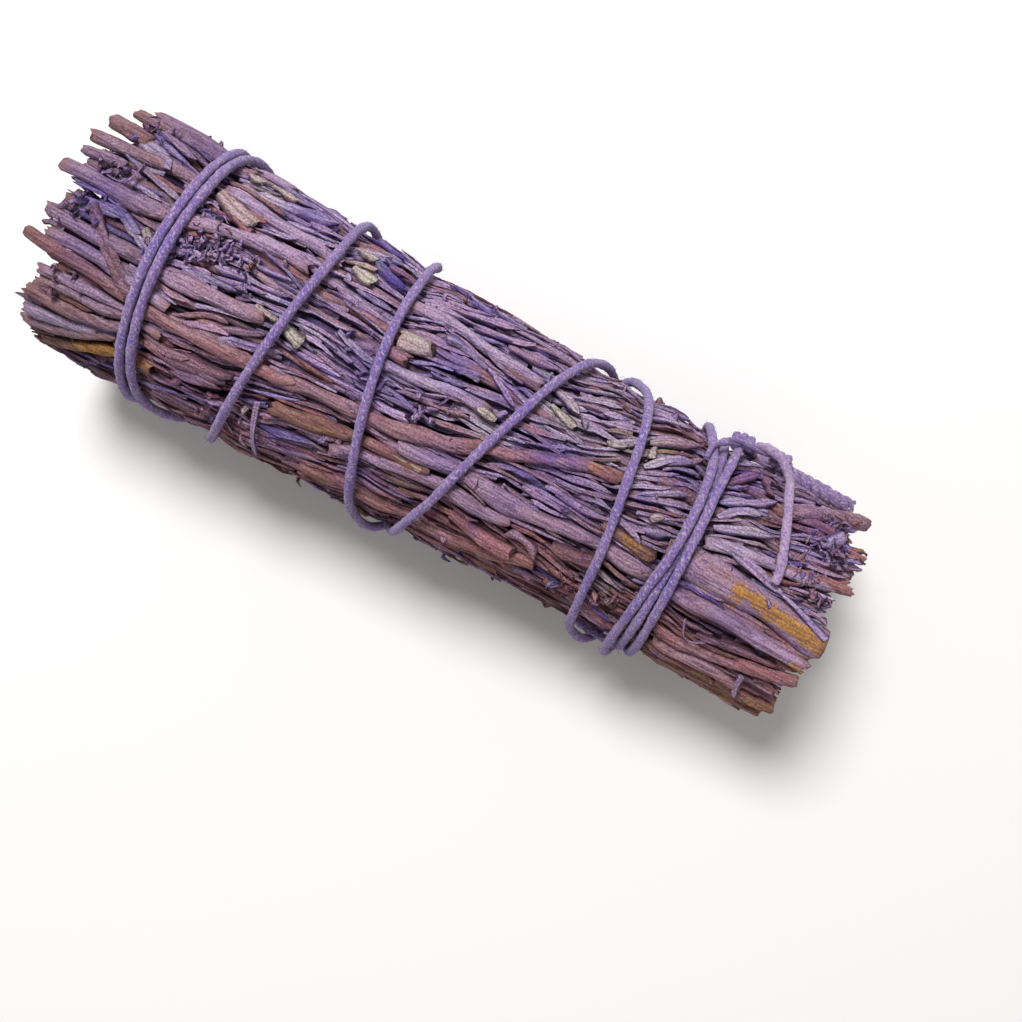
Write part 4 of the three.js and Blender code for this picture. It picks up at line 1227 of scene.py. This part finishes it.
def dyed_bark(colours):
    """Dry woody stem, dyed: fine long ridges, the dye worn off their tops, and raw wood at the cut ends."""
    tree, shader, place = new_material("dyed_sage_bark", 0.78)
    kept = kept_marks(tree, "tone", "bare", "buried", "soaked", "bare_wood", "handled")
    longer = add(tree, "ShaderNodeMapping", {"Vector": place, "Scale": (0.3, 1, 1)})
    longest = add(tree, "ShaderNodeMapping", {"Vector": place, "Scale": (0.07, 1, 1)})
    # Bark ridges 0.3 mm apart, patches of 2.2 mm and grains of 0.24 mm, coarser than real to show
    fibre = add(tree, "ShaderNodeTexNoise", {"Vector": longest, "Scale": 3200.0, "Detail": 3.0})
    patch = add(tree, "ShaderNodeTexNoise", {"Vector": longer, "Scale": 450.0, "Detail": 2.0})
    dust = {"Vector": place, "Scale": 4200.0, "Detail": 2.0, "Roughness": 0.7}
    grain = add(tree, "ShaderNodeTexNoise", dust)
    spread = add(tree, "ShaderNodeMapRange", {"Value": patch, "To Min": -0.16, "To Max": 0.16})
    tone = add(tree, "ShaderNodeMath", {0: kept["tone"], 1: spread}, operation="ADD", use_clamp=True)
    colour = dyed_colour(tree, tone, colours)
    colour = add(tree, "ShaderNodeMix", {0: kept["soaked"], 6: colour, 7: colours.violet}, data_type="RGBA")
    pool = pooled_dye_and_shade(tree, kept, colours)
    # Ochre wood shows in strips between the fibres, then dye dried in their furrows with painted shade there,
    # and tan on their ridges
    strips = add(tree, "ShaderNodeMath", {0: fibre, 1: 0.6, 2: kept["bare_wood"]}, operation="MULTIPLY_ADD")
    for value, low, high, most, dye_there in (
        (strips, 0.72, 0.9, 0.92, colours.ochre),
        (fibre, 0.52, 0.38, 0.5, pool),
        (fibre, 0.54, 0.72, 0.3, colours.tan),
    ):
        shown = {"Value": value, "From Min": low, "From Max": high, "To Max": most}
        shown = add(tree, "ShaderNodeMapRange", shown)
        colour = add(tree, "ShaderNodeMix", {0: shown, 6: colour, 7: dye_there}, data_type="RGBA")
    down = {"Value": grain, "From Min": 0.32, "From Max": 0.68, "To Min": 0.48, "To Max": 1.3}
    colour = downy_and_end_shade(tree, kept, colour, add(tree, "ShaderNodeMapRange", down), 0.78)
    open_grain = add(tree, "ShaderNodeMapRange", {"Value": patch, "From Min": 0.3, "From Max": 0.6})
    raw = add(tree, "ShaderNodeMath", {0: kept["bare"], 1: open_grain}, operation="MULTIPLY")
    colour = add(tree, "ShaderNodeMix", {0: raw, 6: colour, 7: colours.brown}, data_type="RGBA")
    relief = add(tree, "ShaderNodeMath", {0: grain, 1: 0.3, 2: fibre}, operation="MULTIPLY_ADD")
    finish_plant(tree, shader, kept, colours, colour, pool, relief)


def felted_cotton(colours):
    """Dyed cotton string, softly twisted and felted: matt, with pale worn fibres lying along its plies."""
    tree, shader, place = new_material("felted_cotton_string", 0.92)
    yarn = add(tree, "ShaderNodeAttribute", attribute_name="yarn").outputs["Vector"]
    lobe = add(tree, "ShaderNodeAttribute", attribute_name="lobe").outputs["Fac"]
    fibre = add(tree, "ShaderNodeTexNoise", {"Vector": yarn, "Scale": 2.3, "Detail": 3.0, "Roughness": 0.7})
    # Fibre ends 0.33 mm across, coarser than real to show, and dye in patches of 3.5 mm
    ends = {"Vector": place, "Scale": 3000.0, "Detail": 2.0, "Roughness": 0.7}
    grain = add(tree, "ShaderNodeTexNoise", ends)
    patch = add(tree, "ShaderNodeTexNoise", {"Vector": place, "Scale": 280.0, "Detail": 2.0})
    both = add(tree, "ShaderNodeMath", {0: grain, 1: 0.9, 2: fibre}, operation="MULTIPLY_ADD")
    parts = add(tree, "ShaderNodeSeparateXYZ", {"Vector": place}).outputs
    # The frayed tail, beyond 37.5 mm and at the +Y edge, took the most dye
    far = add(tree, "ShaderNodeMapRange", {"Value": parts["X"], "From Min": 0.0375, "From Max": 0.0395})
    at_edge = add(tree, "ShaderNodeMapRange", {"Value": parts["Y"], "From Min": 0.0125, "From Max": 0.014})
    tail = add(tree, "ShaderNodeMath", {0: far, 1: at_edge}, operation="MULTIPLY")
    colour = colours.string
    # Patches of dye, the redder last turn beyond 33.5 mm, the tail, worn fibres, felt, painted shade in the
    # furrows of the plies
    for value, low, high, most, dye_there in (
        (patch, 0.4, 0.7, 0.6, colours.violet),
        (parts["X"], 0.0335, 0.036, 0.85, colours.mauve),
        (tail, 0.0, 1.0, 0.45, colours.pool),
        (both, 0.96, 1.16, 0.8, colours.fleck),
        (both, 0.93, 0.73, 0.8, colours.violet),
        (lobe, -0.3, -1.0, 0.3, colours.pool),
    ):
        shown = {"Value": value, "From Min": low, "From Max": high, "To Max": most}
        shown = add(tree, "ShaderNodeMapRange", shown)
        colour = add(tree, "ShaderNodeMix", {0: shown, 6: colour, 7: dye_there}, data_type="RGBA")
    tree.links.new(colour.outputs[2], shader.inputs["Base Color"])
    shader.inputs["Sheen Weight"].default_value = 0.2
    bump = add(tree, "ShaderNodeBump", {"Strength": 1.0, "Distance": 0.00022, "Height": both})
    tree.links.new(bump.outputs[0], shader.inputs["Normal"])


def string_lines():
    """The string's lines round the bundle, in metres, each with its girths: the long strand, the turns
    of the knots, the plies of the frayed tail and the loose yarn over the knots."""
    lines = []

    def lay(places, girths, step=0.35):
        x, angle, lift = np.array(places, float).T
        a = np.radians(angle)
        distance = leaf_radius(x) + STRING_HEIGHT + lift
        points = np.stack([x, distance * np.sin(a), axis_height(x) + distance * np.cos(a)], 1)
        run = np.concatenate([[0], np.cumsum(np.linalg.norm(np.diff(points, axis=0), axis=1))])
        at = np.linspace(0, run[-1], max(int(run[-1] / step), 6))
        even = np.stack([np.interp(at, run, points[:, k]) for k in range(3)], 1)
        lines.append((even * MM, np.interp(at, run, girths) * MM))

    u = np.arange(TAIL_END - 0.3, len(STRING_ROUTE) - 1, 0.02)
    uneven = 1 + 0.05 * np.sin(u * 5.1) + 0.04 * np.sin(u * 13.7 + 1) + 0.03 * np.sin(u * 31)
    lay(route_at(u), (STRING_RADIUS - 0.04) * uneven, 0.42)
    for x, angle, lift in KNOTS:
        t = np.linspace(0, 1, 60)
        turn = 2 * math.pi * 2.3 * t + 0.6
        wrap = np.stack([x - 1.1 + 2.2 * t, angle + 3.6 * np.sin(turn), lift + 0.8 * np.cos(turn)], 1)
        lay(wrap, 0.52 + 0.05 * np.sin(9 * t))
        over = lift + 0.35 * np.sin(2 * turn)
        hitch = np.stack([x + 1.15 * np.cos(turn), angle - 2.5 + 5 * np.sin(turn), over], 1)
        lay(hitch[:32], 0.46 + 0 * t[:32])
    t = np.linspace(0, 1, 160)
    tail = route_at(t * TAIL_END)
    for ply in range(3):
        turn = 2 * math.pi * (ply / 3 + 3.2 * t)
        apart = 0.5 + 0.3 * smoothstep(-t, -0.16, 0)
        strand = tail + np.stack(
            [0 * t, np.degrees(apart * np.sin(turn) / WIDE_RADIUS), apart * np.cos(turn)], 1
        )
        lay(strand, 0.55 - 0.3 * smoothstep(-t, -0.14, 0))
    yarn = np.array(LOOSE_YARN)
    t = np.linspace(0, len(yarn) - 1, 60)
    for side in (-0.22, 0.22):
        loose = np.stack([np.interp(t, range(len(yarn)), yarn[:, k]) for k in range(3)], 1)
        loose[:, 1] += np.degrees(side * np.cos(2.2 * t) / WIDE_RADIUS)
        loose[:, 2] += side * np.sin(2.2 * t)
        lay(loose, 0.32 + 0 * t)
    return lines


def string_tree():
    """Makes the string's lines round, with twisted plies and a felted surface, and sets fuzz on them."""
    tree, given = new_tree(
        "Twisted string",
        {
            "Lay": "Float",
            "Ply depth": "Float",
            "Felt depth": "Float",
            "Fuzz density": "Float",
            "Fibre": "Object",
            "Seed": "Int",
            "Material": "Material",
        },
    )
    girth, run, around = (
        add(tree, "GeometryNodeInputNamedAttribute", {"Name": name}, data_type="FLOAT")
        for name in ("girth", "run", "around")
    )
    lines = add(tree, "GeometryNodeMeshToCurve", {"Mesh": given["Geometry"]})
    length = add(tree, "GeometryNodeSplineParameter").outputs["Length"]
    measured = add(
        tree, "GeometryNodeStoreNamedAttribute", {"Geometry": lines, "Name": "run", "Value": length}
    )
    ring = add(tree, "GeometryNodeCurvePrimitiveCircle", {"Resolution": 14, "Radius": 1.0})
    marked = add(
        tree,
        "GeometryNodeStoreNamedAttribute",
        {"Geometry": ring, "Name": "around", "Value": add(tree, "GeometryNodeSplineParameter")},
    )
    tube = add(
        tree,
        "GeometryNodeCurveToMesh",
        {"Curve": measured, "Profile Curve": marked, "Scale": girth, "Fill Caps": True},
    )
    turns = add(tree, "ShaderNodeMath", {0: run, 1: given["Lay"]}, operation="DIVIDE")
    whole = add(tree, "ShaderNodeMath", {0: around, 1: turns}, operation="ADD")
    twisted = add(tree, "ShaderNodeMath", {0: whole, 1: 2 * math.pi}, operation="MULTIPLY")
    three = add(tree, "ShaderNodeMath", {0: twisted, 1: 3.0}, operation="MULTIPLY")
    lobe = add(tree, "ShaderNodeMath", {0: three}, operation="COSINE")
    along = add(tree, "ShaderNodeMath", {0: run, 1: 900.0}, operation="MULTIPLY")
    right = add(tree, "ShaderNodeMath", {0: twisted}, operation="COSINE")
    up = add(tree, "ShaderNodeMath", {0: twisted}, operation="SINE")
    yarn = add(tree, "ShaderNodeCombineXYZ", {0: along, 1: right, 2: up})
    kept = add(
        tree,
        "GeometryNodeStoreNamedAttribute",
        {"Geometry": tube, "Name": "yarn", "Value": yarn},
        data_type="FLOAT_VECTOR",
    )
    lobed = add(tree, "GeometryNodeStoreNamedAttribute", {"Geometry": kept, "Name": "lobe", "Value": lobe})
    felt = add(tree, "ShaderNodeTexNoise", {"Vector": yarn, "Scale": 1.7, "Detail": 2.0})
    level = add(tree, "ShaderNodeMath", {0: felt, 1: 0.5}, operation="SUBTRACT")
    felted = add(tree, "ShaderNodeMath", {0: level, 1: given["Felt depth"]}, operation="MULTIPLY")
    plied = add(tree, "ShaderNodeMath", {0: lobe, 1: given["Ply depth"], 2: felted}, operation="MULTIPLY_ADD")
    normal = add(tree, "GeometryNodeInputNormal")
    out = add(tree, "ShaderNodeVectorMath", {0: normal, "Scale": plied}, operation="SCALE")
    shaped = add(tree, "GeometryNodeSetPosition", {"Geometry": lobed, "Offset": out})
    spots = add(
        tree,
        "GeometryNodeDistributePointsOnFaces",
        {"Mesh": shaped, "Density": given["Fuzz density"], "Seed": given["Seed"]},
    )
    fibre = add(tree, "GeometryNodeObjectInfo", {"Object": given["Fibre"]})
    turn = add(
        tree,
        "FunctionNodeRandomValue",
        {0: (-0.9, -0.9, -3.1), 1: (0.9, 0.9, 3.1), "Seed": given["Seed"]},
        data_type="FLOAT_VECTOR",
    )
    tilt = add(tree, "FunctionNodeEulerToRotation", {"Euler": turn})
    tilted = add(
        tree,
        "FunctionNodeRotateRotation",
        {"Rotation": spots.outputs["Rotation"], "Rotate By": tilt},
        rotation_space="LOCAL",
    )
    grown = add(tree, "FunctionNodeRandomValue", {2: 0.5, 3: 1.3, "Seed": given["Seed"]}, data_type="FLOAT")
    fuzz = add(
        tree,
        "GeometryNodeInstanceOnPoints",
        {
            "Points": spots,
            "Instance": fibre.outputs["Geometry"],
            "Rotation": tilted,
            "Scale": grown,
        },
    )
    loose = add(tree, "GeometryNodeRealizeInstances", {"Geometry": fuzz})
    both = add(tree, "GeometryNodeJoinGeometry", {"Geometry": shaped})
    tree.links.new(loose.outputs[0], both.inputs[0])
    dyed = add(tree, "GeometryNodeSetMaterial", {"Geometry": both, "Material": given["Material"]})
    add(tree, "NodeGroupOutput", {"Geometry": dyed})
    return tree


def cotton_fibre():
    """One loose fibre: a thin three-sided hair, bent over."""
    length, radius = 0.6 * MM, 0.02 * MM
    points, faces = [], []
    for s in range(4):
        t = s / 3
        wide = radius * (1 - 0.6 * t)
        for turn in (0, 2 * math.pi / 3, 4 * math.pi / 3):
            bent = 0.3 * length * t * t
            points.append((wide * math.cos(turn) + bent, wide * math.sin(turn), length * t * 0.8))
    for s in range(3):
        for k in range(3):
            a, b = 3 * s + k, 3 * s + (k + 1) % 3
            faces.append((a, b, b + 3, a + 3))
    return new_object("cotton_fibre", points, (), faces + [(2, 1, 0), (9, 10, 11)])


class SMUDGE_OT_stage(bpy.types.Operator):
    """Set the camera over the bundle, the pale floor and the soft light"""

    bl_idname = "smudge.stage"
    bl_label = "Camera, Floor and Light"

    focal: FloatProperty(name="Focal length", description="In pixels of a picture 1022 wide", default=1215)
    height: FloatProperty(name="Height", description="Over the floor", default=0.168, unit="LENGTH")
    over_x: FloatProperty(name="Over X", description="Along the bundle", default=0.01165, unit="LENGTH")
    over_y: FloatProperty(name="Over Y", description="Across the bundle", default=-0.0063, unit="LENGTH")
    roll: FloatProperty(name="Roll", description="Turn of the picture", default=0.5007, unit="ROTATION")

    def execute(self, context):
        colours = context.scene.smudge_colours
        # It looks straight down, turned so that the bundle runs down to the right
        camera = bpy.data.objects.new("camera", bpy.data.cameras.new("camera"))
        context.scene.collection.objects.link(camera)
        camera.location = (self.over_x, self.over_y, self.height)
        camera.rotation_euler = (0, 0, self.roll)
        camera.data.sensor_width = SENSOR_WIDTH
        camera.data.lens = SENSOR_WIDTH * self.focal / IMAGE_SIZE
        camera.data.clip_start = 0.005
        camera.data.clip_end = 20
        context.scene.camera = camera
        context.scene.view_settings.view_transform = "Standard"

        corners = [(FLOOR_REACH * x, FLOOR_REACH * y, 0) for x, y in ((-1, -1), (1, -1), (1, 1), (-1, 1))]
        floor = new_object("floor", corners, (), [(0, 1, 2, 3)])
        # Matt paper, which takes soft shadows and gives back no gloss
        _, shader, _ = new_material("matt_paper_floor", 0.9)
        shader.inputs["Base Color"].default_value = colours.floor
        floor.data.materials.append(bpy.data.materials["matt_paper_floor"])

        world = context.scene.world or bpy.data.worlds.new("world")
        context.scene.world = world
        world.use_nodes = True
        sky = world.node_tree
        sky.nodes.clear()
        soft = {"Color": linear(LIGHT_COLOUR), "Strength": SURROUNDING_LIGHT}
        add(sky, "ShaderNodeOutputWorld", {"Surface": add(sky, "ShaderNodeBackground", soft)})
        for name, (spot, size, power) in LAMPS.items():
            light = bpy.data.lights.new(name, "AREA")
            light.shape = "DISK"
            light.size = size
            light.energy = power
            lamp = bpy.data.objects.new(name, light)
            lamp.location = spot
            lamp.rotation_euler = (-lamp.location).to_track_quat("-Z", "Y").to_euler()
            context.scene.collection.objects.link(lamp)
        return {"FINISHED"}


class SMUDGE_OT_binding_string(bpy.types.Operator):
    """Make the cotton string with its knots and its frayed tail"""

    bl_idname = "smudge.binding_string"
    bl_label = "Binding String"

    def execute(self, context):
        sizes = context.scene.smudge_sizes
        felted_cotton(context.scene.smudge_colours)
        points, edges, girths = [], [], []
        for line, girth in string_lines():
            edges += [(len(points) + k, len(points) + k + 1) for k in range(len(line) - 1)]
            points += list(line)
            girths += list(girth)
        holder = new_object("binding_string_cotton", points, edges)
        set_attribute(holder.data, "girth", "FLOAT", girths)
        fibre = cotton_fibre()
        values = {
            "Lay": sizes.lay,
            "Ply depth": PLY_DEPTH * MM,
            "Felt depth": FELT_DEPTH * MM,
            "Fuzz density": sizes.fuzz / STRING_SURFACE,
            "Fibre": fibre,
            "Seed": sizes.seed,
            "Material": bpy.data.materials["felted_cotton_string"],
        }
        made = use_tree(holder, string_tree(), values)
        bpy.data.meshes.remove(fibre.data)
        places = vertex_places(made.data)
        places[:, 2] = np.maximum(places[:, 2], 0)
        place_vertices(made.data, places)
        made.data.shade_smooth()
        finish_piece(made, "binding_string")
        return {"FINISHED"}


class SMUDGE_OT_outer_sprigs(bpy.types.Operator):
    """Make the leafy sprigs of the outside"""

    bl_idname = "smudge.outer_sprigs"
    bl_label = "Outer Sprigs"

    def execute(self, context):
        sizes, colours = context.scene.smudge_sizes, context.scene.smudge_colours
        dyed_leaf(colours)
        dyed_bark(colours)
        tree, shapes = sprig_tree(), leaf_shapes()
        covers = [Cover() for _ in LAYERS]
        sprigs = [outer_sprig(i, sizes, covers) for i in range(OUTER_COUNT)]
        lay_outside(sprigs, covers)
        lay_leaves(sprigs, covers, sizes)
        for i, sprig in enumerate(sprigs):
            node = f"outer_sprig_{i + 1:02d}"
            made = sprig.build(f"{node}_leafy", tree, shapes, 12)
            roll_up(made.data)
            finish_piece(made, node)
        drop_shapes(shapes)
        return {"FINISHED"}


class SMUDGE_OT_buried_sprigs(bpy.types.Operator):
    """Make the sprigs inside the bundle, which its cut ends show, with the stem on its axis"""

    bl_idname = "smudge.buried_sprigs"
    bl_label = "Buried Sprigs"

    def execute(self, context):
        sizes = context.scene.smudge_sizes
        tree, shapes = bpy.data.node_groups["Leafy sprig"], leaf_shapes()
        for ring, name in ((MIDDLE_RING, "middle"), (INNER_RING, "inner")):
            for i in range(ring["count"]):
                node = f"{name}_sprig_{i + 1:02d}"
                made = buried_sprig(ring, i, sizes).build(f"{node}_leafy", tree, shapes, 10)
                roll_up(made.data)
                finish_piece(made, node)
        stem = Sprig()
        axis = [(x, 0, 0) for x in np.linspace(WIDE_CUT - 0.6, NARROW_CUT + 0.2, 6)]
        stem.stem(axis, CENTRE_STEM_RADIUS, 0.66, 3)
        made = stem.build("centre_stem_bark", tree, shapes, 12)
        places = vertex_places(made.data)
        places[:, 2] += axis_height(places[:, 0])
        place_vertices(made.data, places * MM)
        # A middling depth, which gives the centre stem painted shade all along
        set_attribute(made.data, "buried", "FLOAT", np.full(len(places), 0.5))
        finish_piece(made, "centre_stem")
        drop_shapes(shapes)
        return {"FINISHED"}


class SMUDGE_PT_panel(bpy.types.Panel):
    """The smudge stick's sizes, colours and pieces"""

    bl_idname = "SMUDGE_PT_panel"
    bl_label = "Smudge Stick"
    bl_space_type = "VIEW_3D"
    bl_region_type = "UI"
    bl_category = "Smudge Stick"

    def draw(self, context):
        for group in (context.scene.smudge_sizes, context.scene.smudge_colours):
            box = self.layout.box()
            for name in group.__annotations__:
                box.prop(group, name)
        for operator in OPERATORS:
            self.layout.operator(operator.bl_idname)


OPERATORS = (
    SMUDGE_OT_stage,
    SMUDGE_OT_binding_string,
    SMUDGE_OT_outer_sprigs,
    SMUDGE_OT_buried_sprigs,
)
CLASSES = (BundleSizes, BundleColours, *OPERATORS, SMUDGE_PT_panel)


def register():
    for kind in CLASSES:
        bpy.utils.register_class(kind)
    bpy.types.Scene.smudge_sizes = PointerProperty(type=BundleSizes)
    bpy.types.Scene.smudge_colours = PointerProperty(type=BundleColours)


def unregister():
    del bpy.types.Scene.smudge_colours
    del bpy.types.Scene.smudge_sizes
    for kind in reversed(CLASSES):
        bpy.utils.unregister_class(kind)


def main():
    register()
    bpy.ops.smudge.stage()
    bpy.ops.smudge.binding_string()
    bpy.ops.smudge.outer_sprigs()
    bpy.ops.smudge.buried_sprigs()
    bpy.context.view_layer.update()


if __name__ == "__main__":
    main()
